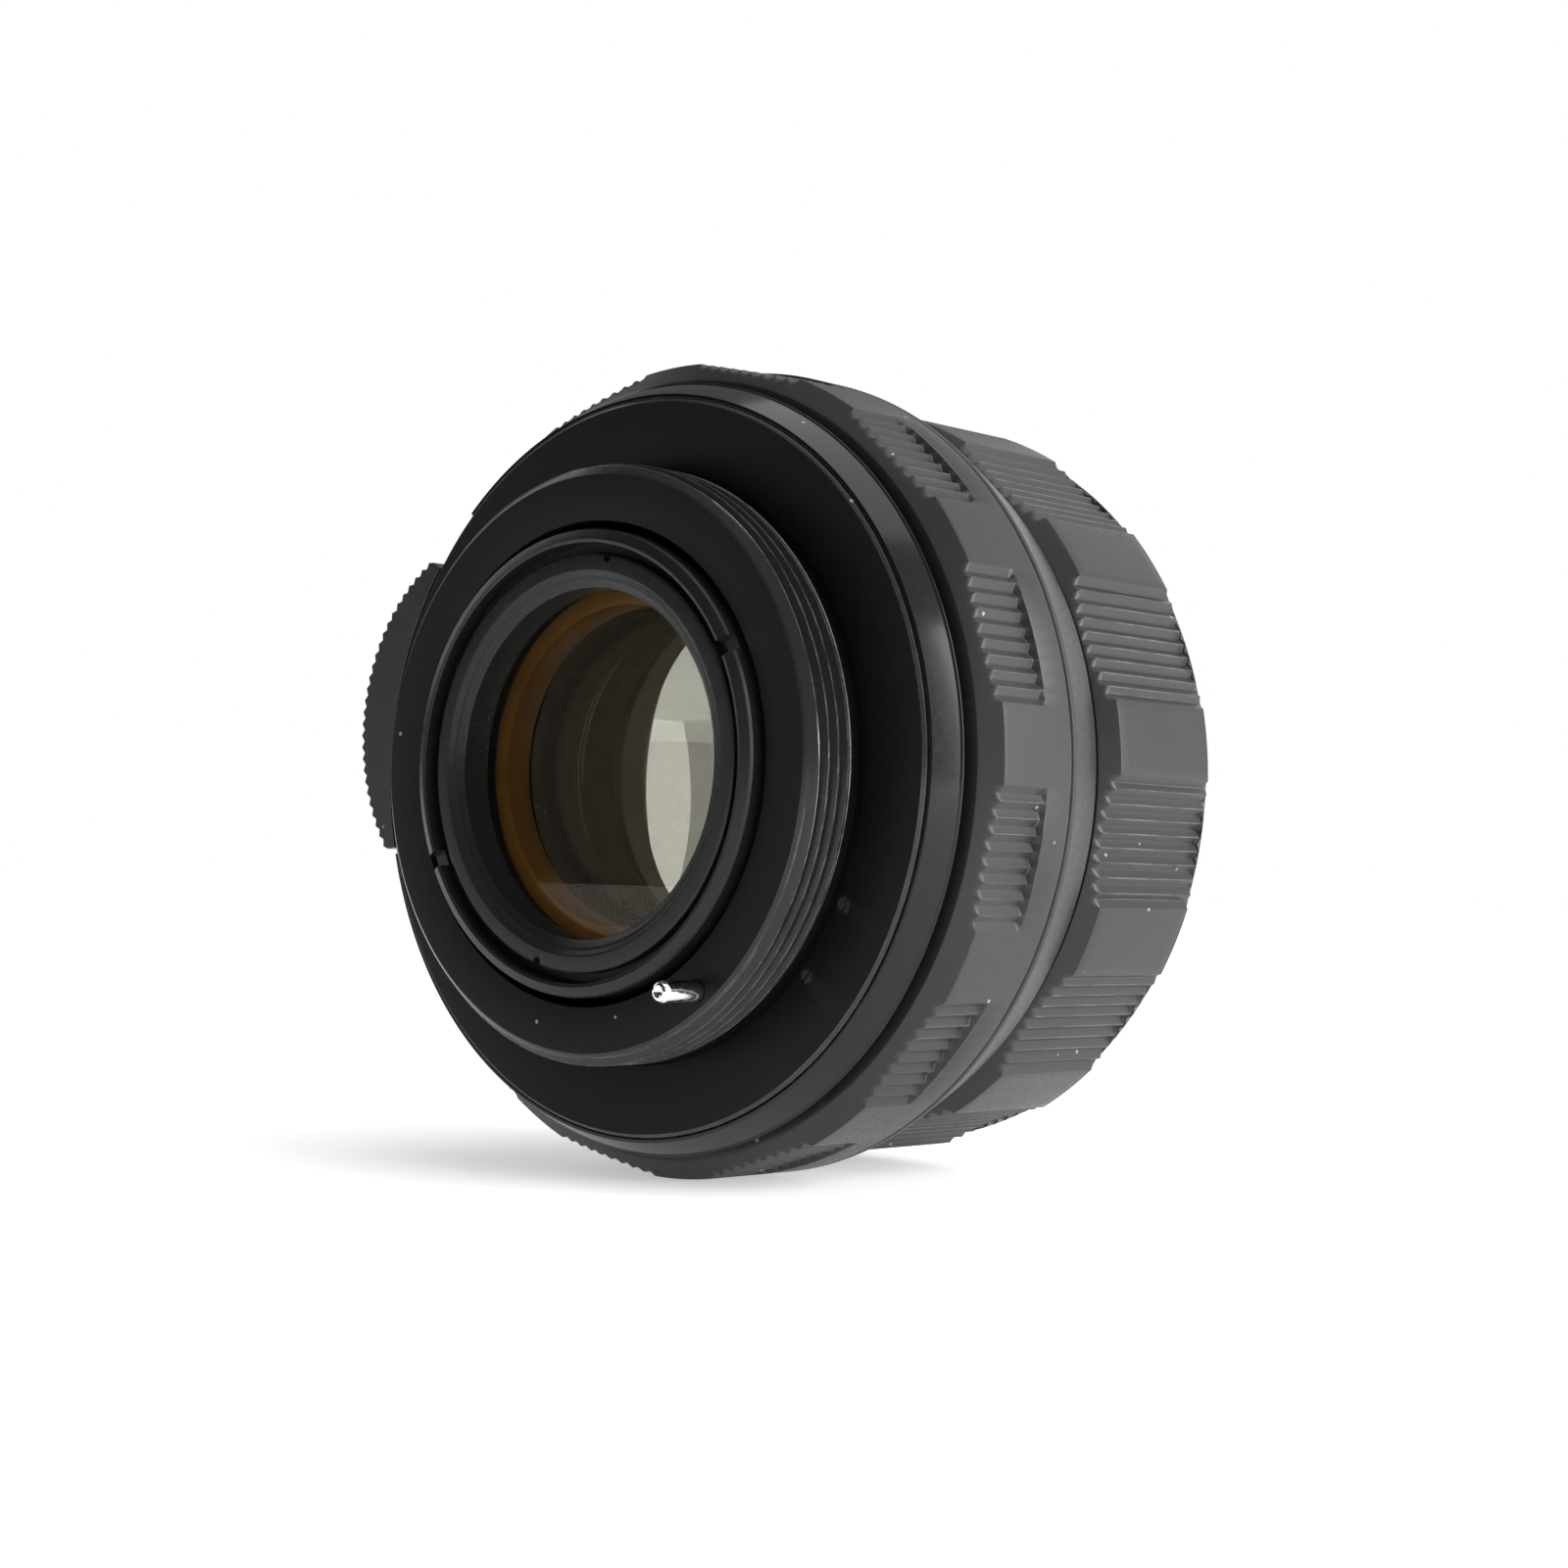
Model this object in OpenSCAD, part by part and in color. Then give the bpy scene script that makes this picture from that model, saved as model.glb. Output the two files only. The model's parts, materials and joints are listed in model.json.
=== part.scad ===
// Prime lens for a 42 mm screw mount, with its helicoids, iris and click-stop rings.
// The origin is the centre of the register face, +Y runs along the optical axis to
// the front and +Z is up. The pieces are drawn round +Z and on_axis() lays them down.
// An angle t is counted from +X towards +Z, as seen from behind.

/* [Body rings] */
// Diameter of the aperture ring, the widest ring
body_d = 58.6; // [58:0.1:74]
// Step down in radius from the aperture ring to the focus ring
focus_ring_step = 1.1; // [0.4:0.1:1.6]
// Step down in radius from the aperture ring to the rear lip
lip_step = 1.74; // [1:0.02:1.9]
// Step down in radius along the depth-scale ring
scale_ring_step = 1.8; // [0.5:0.1:2.2]
// Length of the aperture ring
aperture_ring_len = 8.65; // [8.2:0.05:12]
// Length of the depth-scale ring
scale_ring_len = 5.4; // [4.5:0.1:8]
// Length of the focus ring
focus_ring_len = 12.7; // [12.2:0.1:17]
// How far the front bezel stands past the focus ring at infinity
bezel_reach = 4.8; // [4.8:0.1:10]

/* [Grip scallops] */
// Number of scallops round each ring
scallops = 12; // [8:1:16]
// Grooves in one scallop
grooves = 9; // [5:1:12]
// Depth of an aperture ring scallop
aperture_scallop = 0.5; // [0.2:0.05:0.8]
// Depth of a focus ring scallop
focus_scallop = 0.75; // [0.2:0.05:0.9]
// Depth of the aperture ring grooves
aperture_groove = 0.25; // [0.1:0.05:0.4]
// Depth of the focus ring grooves
focus_groove = 0.35; // [0.1:0.05:0.4]
// Width of a smooth land between scallops, in degrees
land_deg = 10.6; // [6:0.2:14]

/* [Screw mount] */
// Major diameter of the mount thread
thread_d = 42; // [41:0.1:50.6]
// Reach of the rear face behind the register face
mount_reach = 5.14; // [5:0.02:6.5]
// Reach of the thread's first full crest behind the register face
thread_reach = 4.4; // [3.5:0.1:4.9]
// Width of the relief groove between thread and flange
relief_len = 1.3; // [0.8:0.1:2]
// Depth of the relief groove
relief_depth = 0.8; // [0.4:0.05:0.9]
// Depth of the corner recess between the thread and the register face
face_recess = 0.3; // [0.1:0.05:0.5]
// Flange diameter, the outer edge of the register face
flange_d = 52.3; // [51.8:0.1:53.4]
// Flange thickness
flange_t = 1.6; // [1.2:0.1:1.6]
// Thickness of the rear wall
rear_wall_t = 1.1; // [0.8:0.1:1.6]
// Bore of the mount behind its rear wall
mount_bore_d = 35.4; // [34.6:0.1:35.8]
// Width of the slit between the rear lens tube and the rear wall
rear_tube_gap = 0.6; // [0.3:0.05:0.7]

/* [Stop-down pin] */
// Diameter of the stop-down pin
pin_d = 1.5; // [1.2:0.1:1.8]
// Radius of the circle the pin stands on
pin_circle_r = 19; // [18.8:0.05:19.1]
// Angle of the pin
pin_angle = -53.5; // [-80:0.5:-30]
// How far the pin stands out of the rear wall
pin_out = 3.7; // [3.2:0.1:5]
// Travel of the pin
pin_travel = 3; // [1:0.1:3]

/* [Auto/manual switch] */
// Angle of the switch's middle
switch_angle = 169; // [150:1:200]
// Half of the angle that the switch covers
switch_half = 24.4; // [15:0.2:30]
// Travel of the switch in degrees
switch_travel = 10; // [5:1:15]
// Radius of the toothed edge
switch_edge_r = 15; // [14:0.1:15.2]
// How far the toothed edge's top stands past the flange
switch_bulge = 3.95; // [3.2:0.05:5]
// Teeth along the edge
switch_teeth = 28; // [12:1:36]

/* [Focusing] */
// Turn of the focus ring from infinity to its nearest distance
focus_turn = 250; // [180:5:270]
// Travel of the optical block over that turn
focus_travel = 9; // [6:0.1:9]
// Wall of the optical barrel
barrel_wall = 1.0; // [0.8:0.05:1.2]
// Wall of the focus helicoid
focus_helicoid_wall = 1.2; // [0.9:0.05:1.4]
// Wall of the fixed outer helicoid
outer_helicoid_wall = 1.1; // [0.9:0.05:1.3]
// Outer diameter of the base barrel's sleeve, which the aperture ring turns on
sleeve_d = 52.8; // [52.4:0.1:53.2]
// Wall of that sleeve
sleeve_wall = 1.15; // [0.9:0.05:1.3]
// Width of a guide key
key_w = 4; // [2:0.1:6]

/* [Iris] */
// Number of iris blades
blades = 6; // [6:1:6]
// Radius of the opening with the blades open
iris_open_r = 11.9; // [11.7:0.05:12.2]
// Thickness of a blade
blade_t = 0.15; // [0.08:0.01:0.2]
// Distance from one blade's layer to the next
blade_pitch = 0.3; // [0.25:0.01:0.32]
// Radius of a blade's pivot pin
pivot_pin_r = 0.5; // [0.3:0.05:0.6]
// Radius of a blade's drive pin
drive_pin_r = 0.35; // [0.25:0.05:0.4]
// Angle through which a blade turns to its smallest opening
blade_turn = 33.5; // [20:0.5:34]
// Turn of the aperture ring over its whole scale
aperture_turn = 60; // [40:1:70]
// Number of click stops
clicks = 11; // [6:1:13]

/* [Glass] */
// Diameter of the front element
front_glass_d = 33.2; // [32.6:0.1:34]
// Diameter of the second element
second_glass_d = 29; // [28.8:0.1:29.2]
// Diameter of the third element
third_glass_d = 27; // [26.6:0.1:27.2]
// Diameter of the cemented pair
pair_glass_d = 24; // [23.8:0.1:24.2]
// Diameter of the rear element
rear_glass_d = 25.7; // [25.3:0.1:26]
// Filter thread diameter
filter_d = 46; // [45:0.5:48]

/* [Fits] */
// Radial clearance of pieces that turn or slide on each other
running_gap = 0.1; // [0.05:0.01:0.12]
// Radial clearance of a bearing surface
bearing_gap = 0.05; // [0.02:0.01:0.08]
// Clearance of pieces that are seated on each other
seat_gap = 0.05; // [0.02:0.01:0.08]
// Clearance between pieces that pass each other freely
free_gap = 0.3; // [0.2:0.01:0.35]

/* [Hidden] */
$fn = 96;
eps = 0.01;
far = 60;
paint = [0.06, 0.06, 0.065];
bare = [0.55, 0.55, 0.56];
brass = [0.70, 0.56, 0.30];
chrome = [0.85, 0.85, 0.87];
clear_glass = [0.72, 0.82, 0.86, 0.4];
amber_glass = [0.80, 0.58, 0.26, 0.5];

// radii of the nested barrels, from the outside inwards
body_r = body_d / 2;
focus_ring_r = body_r - focus_ring_step;
lip_r = body_r - lip_step;
sleeve_r = sleeve_d / 2;
outer_helicoid_r = sleeve_r - sleeve_wall - seat_gap;
focus_helicoid_r = outer_helicoid_r - outer_helicoid_wall - running_gap;
barrel_r = focus_helicoid_r - focus_helicoid_wall - running_gap;
bore_r = barrel_r - barrel_wall;
cell_r = bore_r - seat_gap;
focus_wall = 1.8;
focus_bore_r = focus_ring_r - focus_wall;
bezel_r = focus_bore_r - 2 * free_gap;
bezel_skirt_wall = 0.9;

// radii at the mount
thread_r = thread_d / 2;
relief_r = thread_r - relief_depth;
flange_r = flange_d / 2;
mount_bore_r = mount_bore_d / 2;
rear_tube_r = 16.3;
rear_hole_r = rear_tube_r + rear_tube_gap;
pin_r = pin_d / 2;
pin_head_r = pin_r + 0.2;
pin_head_t = 0.5;
pin_cap_t = 0.6;

// stations along the axis, from the register face
lip_y = 2.35;
web_t = 1;
web_y = 2.2;
aperture_ring_y = lip_y + web_t;
scale_ring_y = aperture_ring_y + aperture_ring_len + 0.1;
scale_ring_end = scale_ring_y + scale_ring_len;
focus_ring_y = scale_ring_end + 0.8;
focus_ring_end = focus_ring_y + focus_ring_len;
bezel_end = focus_ring_end + bezel_reach;
key_foot_t = 1;
key_foot_y = web_y + web_t;
cam_ring_y = key_foot_y + key_foot_t + free_gap;
cam_ring_t = 1.1;
cam_ring_mid = cam_ring_y + cam_ring_t / 2;
helicoid_y = cam_ring_y + cam_ring_t + free_gap;
stop_y = focus_ring_y + free_gap;
stop_t = 1;
shoulder_y = stop_y + stop_t + 0.2;
shoulder_t = 1.2;
flange_y = shoulder_y + shoulder_t;
helicoid_flange_t = 1.2;
skirt_y = flange_y + helicoid_flange_t + 0.2;
barrel_y = 5;
key_end = barrel_y + focus_travel + 3;
web_front = bezel_end - 4.1;
name_ring_y = web_front + 0.15;
name_ring_t = 0.8;
filter_y = name_ring_y + name_ring_t + seat_gap;

// radii of curvature and of the polished area where it stops short of the edge
first_front_r = 36;
first_rear_r = 200;
second_front_r = 25;
second_rear_r = 45;
third_front_r = 60;
third_rear_r = 19;
third_clear_r = 10.5;
pair_front_r = 20;
pair_clear_r = 10;
pair_shoulder_r = pair_glass_d / 2 - 0.6;
pair_cement_r = 45;
pair_rear_r = 38;
rear_front_r = 120;
rear_rear_r = 42;

// the front group hangs from the bezel, the rear group and the iris from the mount
front_group = bezel_end - 35.8;
first_front_y = front_group + 32.6;
first_rear_y = front_group + 27.6;
second_front_y = front_group + 27.2;
second_rear_y = front_group + 23;
third_front_y = front_group + 22.3;
third_rear_y = front_group + 20.5;
pair_front_y = 8.9;
pair_cement_y = 7.1;
pair_rear_y = 1.1;
rear_front_y = 0.7;
rear_rear_y = -4.3;
rear_rim_y = -6.1;
tube_groove_y = -4.9;
first_edge_y = front_group + 28.5;
first_seat_y = first_rear_y - sag(first_rear_r, front_glass_d / 2);
second_edge_y = second_front_y - sag(second_front_r, second_glass_d / 2);
second_seat_y = second_rear_y - sag(second_rear_r, second_glass_d / 2);
third_seat_y = third_rear_y - sag(third_rear_r, third_clear_r);
pair_edge_y = pair_front_y + sag(pair_front_r, pair_clear_r);
pair_seat_y = pair_rear_y + sag(pair_rear_r, pair_shoulder_r) - 0.02;
rear_edge_y = rear_rear_y + sag(rear_rear_r, rear_glass_d / 2);
rear_seat_y = rear_front_y - sag(rear_front_r, pair_shoulder_r) + 0.02;

// iris, from the rear to the front
pivot_r = bore_r - 3.5;
drive_arm = 2;
drive_r = pivot_r + drive_arm * cos(blade_turn / 2);
drive_angle = asin(drive_arm * sin(blade_turn / 2) / drive_r);
blade_out_r = pivot_r + 0.5;
blade_end_deg = 115;
drive_ring_y = 12.7;
drive_ring_t = 0.6;
drive_ring_in = drive_r - 0.95;
iris_wall = 0.5;
iris_wall_r = cell_r - iris_wall;
drive_ring_out = iris_wall_r - bearing_gap;
blade_y = drive_ring_y + drive_ring_t + 0.25;
iris_floor_y = blade_y + blades * blade_pitch + 0.05;
iris_floor_t = 0.75;
iris_cover_t = 0.6;
iris_cover_y = drive_ring_y - 0.2 - iris_cover_t;
rear_cell_front_y = iris_cover_y + 0.5;
cell_flange_y = 8.5;
cell_flange_t = 1.8;
cell_front_r = pair_glass_d / 2 + 1.2;
tail_angle = 20;
tail_deg = 5;
tail_out_r = drive_ring_in + 1.2;

function sag(radius, r) = radius - sqrt(radius * radius - r * r);
function ring_point(r, t) = [r * cos(t), r * sin(t)];
function fan(half, r) = [[0, 0], ring_point(r, -half), ring_point(r, 0), ring_point(r, half)];
function scallop_tip(land_r, depth, half, t) = land_r - depth * (1 - pow(t / half, 2));

module on_axis() { rotate([-90, 0, 0]) children(); }
module at(t, r = 0, y = 0) { rotate([0, 0, -t]) translate([r, 0, y]) children(); }
module outward(t, r, y) { at(t, r, y) rotate([0, 90, 0]) children(); }
module disc(y0, y1, r) { translate([0, 0, y0]) cylinder(h = y1 - y0, r = r); }
module ring(y0, y1, r_in, r_out) {
    difference() {
        disc(y0, y1, r_out);
        disc(y0 - eps, y1 + eps, r_in);
    }
}
module turned(points) { rotate_extrude() polygon(points); }
// a sector of a disc, half degrees each side of angle t, with half under 60
module wedge(t, half, y0, y1, r = far) {
    at(t, 0, y0) linear_extrude(y1 - y0) polygon(fan(half, r));
}
module arc_bar(t, half, y0, y1, r_in, r_out) {
    intersection() {
        ring(y0, y1, r_in, r_out);
        wedge(t, half, y0 - 1, y1 + 1);
    }
}
// a coil spring round the local Z axis, its wire swept along the helix
module coil_spring(y0, y1, mean_r, wire, turns) {
    sides = 8;
    steps = 16;
    last = turns * steps;
    points = [for (i = [0 : last]) for (j = [0 : sides - 1])
        let (t = 360 * i / steps, round_wire = ring_point(wire, 360 * j / sides))
        concat(ring_point(mean_r + round_wire[0], t), y0 + (y1 - y0) * i / last + round_wire[1])];
    skin = [for (i = [0 : last - 1]) for (j = [0 : sides - 1]) let (k = (j + 1) % sides)
        [i * sides + j, i * sides + k, (i + 1) * sides + k, (i + 1) * sides + j]];
    ends = [[for (j = [0 : sides - 1]) sides - 1 - j], [for (j = [0 : sides - 1]) last * sides + j]];
    polyhedron(points, concat(skin, ends));
}

// the air outside one scallop: a toothed inner edge and a plain outer one
module scallop_cutter(land_r, depth, groove, half, y0, y1) {
    step = 2 * half / grooves;
    edge = [for (i = [0 : 2 * grooves])
        let (t = -half + i * step / 2, tip = scallop_tip(land_r, depth, half, t))
        ring_point(i % 2 == 0 ? tip + eps : tip - groove, t)];
    translate([0, 0, y0]) linear_extrude(y1 - y0)
        polygon(concat(edge, [ring_point(land_r + 4, half), ring_point(land_r + 4, -half)]));
}
module scallops_all(first, land_r, depth, groove, y0, y1) {
    half = (360 / scallops - land_deg) / 2;
    for (i = [0 : scallops - 1]) at(first + (i + 0.5) * 360 / scallops)
        scallop_cutter(land_r, depth, groove, half, y0, y1);
}

// ---- mount and fixed barrel ----

module rear_mount() {
    color(paint) on_axis() difference() {
        turned([[rear_hole_r, -mount_reach], [relief_r, -mount_reach], [thread_r, -thread_reach],
            [thread_r, -relief_len], [relief_r, -relief_len], [relief_r, face_recess],
            [thread_r + 0.05, face_recess], [thread_r + 0.05, 0], [flange_r - 0.2, 0],
            [flange_r, 0.2], [flange_r, flange_t], [mount_bore_r, flange_t],
            [mount_bore_r, rear_wall_t - mount_reach], [rear_hole_r, rear_wall_t - mount_reach]]);
        at(pin_angle, pin_circle_r) disc(-mount_reach - 1, flange_t + 1, pin_r + bearing_gap);
        at(pin_angle, pin_circle_r) disc(rear_wall_t - mount_reach, flange_t + 1,
            pin_head_r + seat_gap);
        for (t = face_screw_angles) at(t, face_screw_circle_r)
            disc(-eps, flange_t + 1, face_screw_r + seat_gap);
    }
}

face_screw_angles = [-25.2, -40.6];
face_screw_r = 0.5;
face_screw_circle_r = thread_r + 0.14 * (flange_r - thread_r);
module register_face_screws() {
    color(paint) on_axis() for (t = face_screw_angles) at(t, face_screw_circle_r)
        difference() {
            disc(0.05, flange_t - 0.1, face_screw_r);
            translate([-0.1, -1, 0]) cube([0.2, 2, 0.3]);
        }
}

module base_barrel() {
    color(paint) on_axis() difference() {
        union() {
            turned([[flange_r + seat_gap, 0.3], [flange_r + 0.35, 0.3], [lip_r - 0.15, lip_y - 0.15],
                [lip_r, lip_y - 0.1], [lip_r, lip_y], [lip_r - 0.4, lip_y + 0.35],
                [sleeve_r, lip_y + 0.35], [flange_r + seat_gap, lip_y]]);
            ring(web_y, web_y + web_t, barrel_r + free_gap, sleeve_r + 0.3);
            ring(web_y, scale_ring_y - 0.1, outer_helicoid_r + seat_gap, sleeve_r);
        }
        // slot for the switch, open over the switch and its travel
        wedge(switch_angle - switch_travel / 2, switch_half + switch_travel / 2 + 1, 0, web_y, lip_r + 3);
        // arc slot for the screw that joins the aperture ring to the cam ring
        wedge(drive_screw_angle - aperture_turn / 2, drive_screw_slot / 2,
            cam_ring_y, cam_ring_y + cam_ring_t, lip_r);
        outward(click_angle, outer_helicoid_r - 2, click_y) cylinder(h = 6, r = click_ball_r + seat_gap);
        for (t = key_angles) at(t, key_screw_circle_r) disc(web_y - 1, web_y + 2, key_screw_r + seat_gap);
    }
}

switch_t = 1.9;
module switch_edge() {
    centre_r = flange_r + switch_bulge - switch_edge_r;
    span = 2 * asin((flange_r + 1.35) * sin(switch_half) / switch_edge_r);
    edge = [for (i = [0 : 2 * switch_teeth]) let (t = -span / 2 + i * span / (2 * switch_teeth))
        [centre_r, 0] + ring_point(switch_edge_r - (i % 2 == 0 ? 0.28 : 0), t)];
    polygon(concat([[0, 0]], edge));
}
module auto_manual_switch() {
    arm_y = flange_t + bearing_gap;
    color(paint) on_axis() {
        difference() {
            intersection() {
                at(switch_angle, 0, 0.1) linear_extrude(switch_t) switch_edge();
                wedge(switch_angle, switch_half, 0, 3);
            }
            disc(-1, arm_y, flange_r + 0.1);
            disc(-1, 4, flange_r - 2.5);
        }
    }
}

module stop_down_pin() {
    tip = -mount_reach - pin_out;
    head_y = rear_wall_t - mount_reach + seat_gap;
    color(chrome) on_axis() at(pin_angle, pin_circle_r) {
        turned([[0, tip + 0.12], [0.25, tip + 0.1], [0.4, tip], [pin_r - 0.15, tip + 0.08],
            [pin_r, tip + 0.35], [pin_r, head_y], [pin_head_r, head_y], [pin_head_r, head_y + pin_head_t],
            [0, head_y + pin_head_t]]);
    }
}

spring_wire = 0.14;
spring_y = rear_wall_t - mount_reach + seat_gap + pin_head_t + seat_gap;
spring_end = flange_t - pin_cap_t - seat_gap;
// as many coils as still have room when the pin is pushed in
spring_coils = floor((spring_end - spring_y - pin_travel) / (2 * spring_wire));
module pin_spring() {
    color(bare) on_axis() at(pin_angle, pin_circle_r)
        coil_spring(spring_y + spring_wire, spring_end - spring_wire, pin_head_r - 1.5 * spring_wire,
            spring_wire, spring_coils);
}

module pin_spring_cap() {
    color(brass) on_axis() at(pin_angle, pin_circle_r) difference() {
        disc(flange_t - pin_cap_t, flange_t, pin_head_r);
        translate([-0.12, -1, flange_t - 0.25]) cube([0.24, 2, 1]);
    }
}

module outer_helicoid() {
    color(brass) on_axis() difference() {
        ring(helicoid_y, shoulder_y - 0.2, outer_helicoid_r - outer_helicoid_wall, outer_helicoid_r);
        outward(click_angle, outer_helicoid_r - click_hole_depth, click_y)
            cylinder(h = 6, r = click_ball_r + seat_gap);
    }
}

module depth_scale_ring() {
    bore = outer_helicoid_r + seat_gap;
    front_r = body_r - scale_ring_step;
    color(paint) on_axis() turned([[bore, scale_ring_y], [body_r - 0.1, scale_ring_y],
        [body_r, scale_ring_y + 0.1], [body_r, scale_ring_y + 0.4],
        [front_r, scale_ring_end - 0.15], [front_r - 0.15, scale_ring_end], [bore, scale_ring_end]]);
}

key_angles = [60, 240];
key_screw_r = 0.5;
key_screw_circle_r = barrel_r + 0.95;
module guide_keys() {
    color(bare) on_axis() for (t = key_angles) difference() {
        union() {
            arc_bar(t, asin(key_w / 2 / barrel_r), key_foot_y, key_foot_y + key_foot_t,
                bore_r + 0.1, outer_helicoid_r - 0.5);
            arc_bar(t, asin(key_w / 2 / barrel_r), key_foot_y, key_end, bore_r + 0.1, barrel_r - 0.1);
        }
        at(t, key_screw_circle_r) disc(0, 8, key_screw_r + seat_gap);
    }
}
module guide_key_screws() {
    color(bare) on_axis() for (t = key_angles) at(t, key_screw_circle_r) difference() {
        union() {
            disc(web_y + 0.1, key_foot_y + key_foot_t, key_screw_r);
            disc(key_foot_y + key_foot_t, key_foot_y + key_foot_t + 0.2, key_screw_r + 0.25);
        }
        translate([-0.1, -1, key_foot_y + key_foot_t + 0.1]) cube([0.2, 2, 1]);
    }
}

// the fixed stop fills the part of the circle that the ring's lug never crosses
lug_half = 8;
stop_clear = 2;
stop_half = (360 - focus_turn) / 2 - lug_half - stop_clear;
lug_angle = 180;
module focus_stop() {
    middle = lug_angle - focus_turn / 2 - 180;
    color(bare) on_axis() arc_bar(middle, stop_half, stop_y, stop_y + stop_t,
        outer_helicoid_r + seat_gap, focus_bore_r - free_gap);
}

// ---- aperture ring and what it turns ----

drive_screw_angle = 100;
drive_screw_r = 0.45;
drive_screw_slot = aperture_turn + 6;
click_angle = 250;
click_ball_r = 0.7;
click_y = aperture_ring_y + 5.6;
click_groove = 0.7;
click_hole_depth = 0.8;
module aperture_ring() {
    edge_r = body_r - 1.4;
    knurl_end = aperture_ring_y + 5.95;
    color(paint) on_axis() difference() {
        turned([[sleeve_r + bearing_gap, aperture_ring_y], [edge_r, aperture_ring_y],
            [body_r, aperture_ring_y + 1.13], [body_r, scale_ring_y - 0.2],
            [body_r - 0.1, scale_ring_y - 0.1], [sleeve_r + bearing_gap, scale_ring_y - 0.1]]);
        scallops_all(3.2, body_r, aperture_scallop, aperture_groove, aperture_ring_y - 1, knurl_end);
        // groove for the click ball, with a notch at each stop
        ring(click_y - 0.9, click_y + 0.9, sleeve_r, sleeve_r + bearing_gap + click_groove);
        for (i = [0 : clicks - 1])
            outward(click_angle + i * aperture_turn / (clicks - 1), sleeve_r, click_y)
                cylinder(h = click_groove + 0.35, r = click_ball_r);
        outward(drive_screw_angle, sleeve_r - 1, cam_ring_mid)
            cylinder(h = 1 + bearing_gap + 1.2, r = drive_screw_r + 0.03);
    }
}
module aperture_drive_screw() {
    color(bare) on_axis() outward(drive_screw_angle, outer_helicoid_r - 0.9, cam_ring_mid)
        cylinder(h = sleeve_r + bearing_gap + 1.1 - outer_helicoid_r + 0.9, r = drive_screw_r);
}
module aperture_cam_ring() {
    color(bare) on_axis() difference() {
        ring(cam_ring_y + 0.05, cam_ring_y + cam_ring_t - 0.05, barrel_r + 0.3, outer_helicoid_r - 0.05);
        outward(drive_screw_angle, outer_helicoid_r - 1, cam_ring_mid)
            cylinder(h = 3, r = drive_screw_r + 0.03);
    }
}
module click_ball() {
    color(chrome) on_axis() at(click_angle, sleeve_r - 0.2, click_y) sphere(click_ball_r);
}
module click_spring() {
    foot = outer_helicoid_r - click_hole_depth + spring_wire;
    top = sleeve_r - 0.2 - click_ball_r - spring_wire;
    color(bare) on_axis() outward(click_angle, 0, click_y)
        coil_spring(foot + 0.02, top - 0.02, click_ball_r - 1.6 * spring_wire, spring_wire, 2);
}

// ---- focus ring and its helicoid ----

focus_screw_angles = [30, 150, 270];
focus_screw_r = 0.3;
focus_screw_circle_r = (outer_helicoid_r + 0.15 + focus_bore_r) / 2;
module focus_ring() {
    color(paint) on_axis() {
        difference() {
            turned([[focus_bore_r, focus_ring_y], [focus_ring_r - 1.2, focus_ring_y],
                [focus_ring_r, focus_ring_y + 1.1], [focus_ring_r, focus_ring_end - 0.6],
                [focus_ring_r - 0.6, focus_ring_end], [bezel_r + free_gap, focus_ring_end],
                [bezel_r + free_gap, focus_ring_end - 1.5], [focus_bore_r, focus_ring_end - 2],
                [focus_bore_r, flange_y], [outer_helicoid_r + 0.15, flange_y],
                [outer_helicoid_r + 0.15, shoulder_y], [focus_bore_r, shoulder_y]]);
            scallops_all(5.9, focus_ring_r, focus_scallop, focus_groove, focus_ring_y - 1, focus_ring_end + 1);
            for (t = focus_screw_angles) at(t, focus_screw_circle_r)
                disc(shoulder_y + 0.1, far, focus_screw_r + 0.03);
        }
        arc_bar(lug_angle, lug_half, stop_y, shoulder_y + eps, outer_helicoid_r + free_gap, focus_bore_r + 0.2);
    }
}
module focus_helicoid() {
    inner = focus_helicoid_r - focus_helicoid_wall;
    color(brass) on_axis() difference() {
        turned([[inner, helicoid_y + 0.1], [focus_helicoid_r, helicoid_y + 0.1],
            [focus_helicoid_r, flange_y], [focus_bore_r - seat_gap, flange_y],
            [focus_bore_r - seat_gap, flange_y + helicoid_flange_t], [inner, flange_y + helicoid_flange_t]]);
        for (t = focus_screw_angles) at(t, focus_screw_circle_r) {
            disc(flange_y - 1, far, focus_screw_r + 0.03);
            disc(flange_y + helicoid_flange_t - 0.3, far, focus_screw_r + 0.2);
        }
    }
}
module focus_ring_screws() {
    top = flange_y + helicoid_flange_t;
    color(bare) on_axis() for (t = focus_screw_angles) at(t, focus_screw_circle_r) {
        disc(shoulder_y + 0.15, top - 0.25, focus_screw_r);
        disc(top - 0.27, top - 0.02, focus_screw_r + 0.15);
    }
}

// ---- optical block: barrel, front group ----

module optical_barrel() {
    color(brass) on_axis() difference() {
        ring(barrel_y, web_front - seat_gap, bore_r, barrel_r);
        for (t = key_angles) at(t, 0, barrel_y - 1)
            translate([0, -key_w / 2 - 0.1, 0]) cube([far, key_w + 0.2, key_end + 0.5 - barrel_y + 1]);
    }
}

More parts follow.
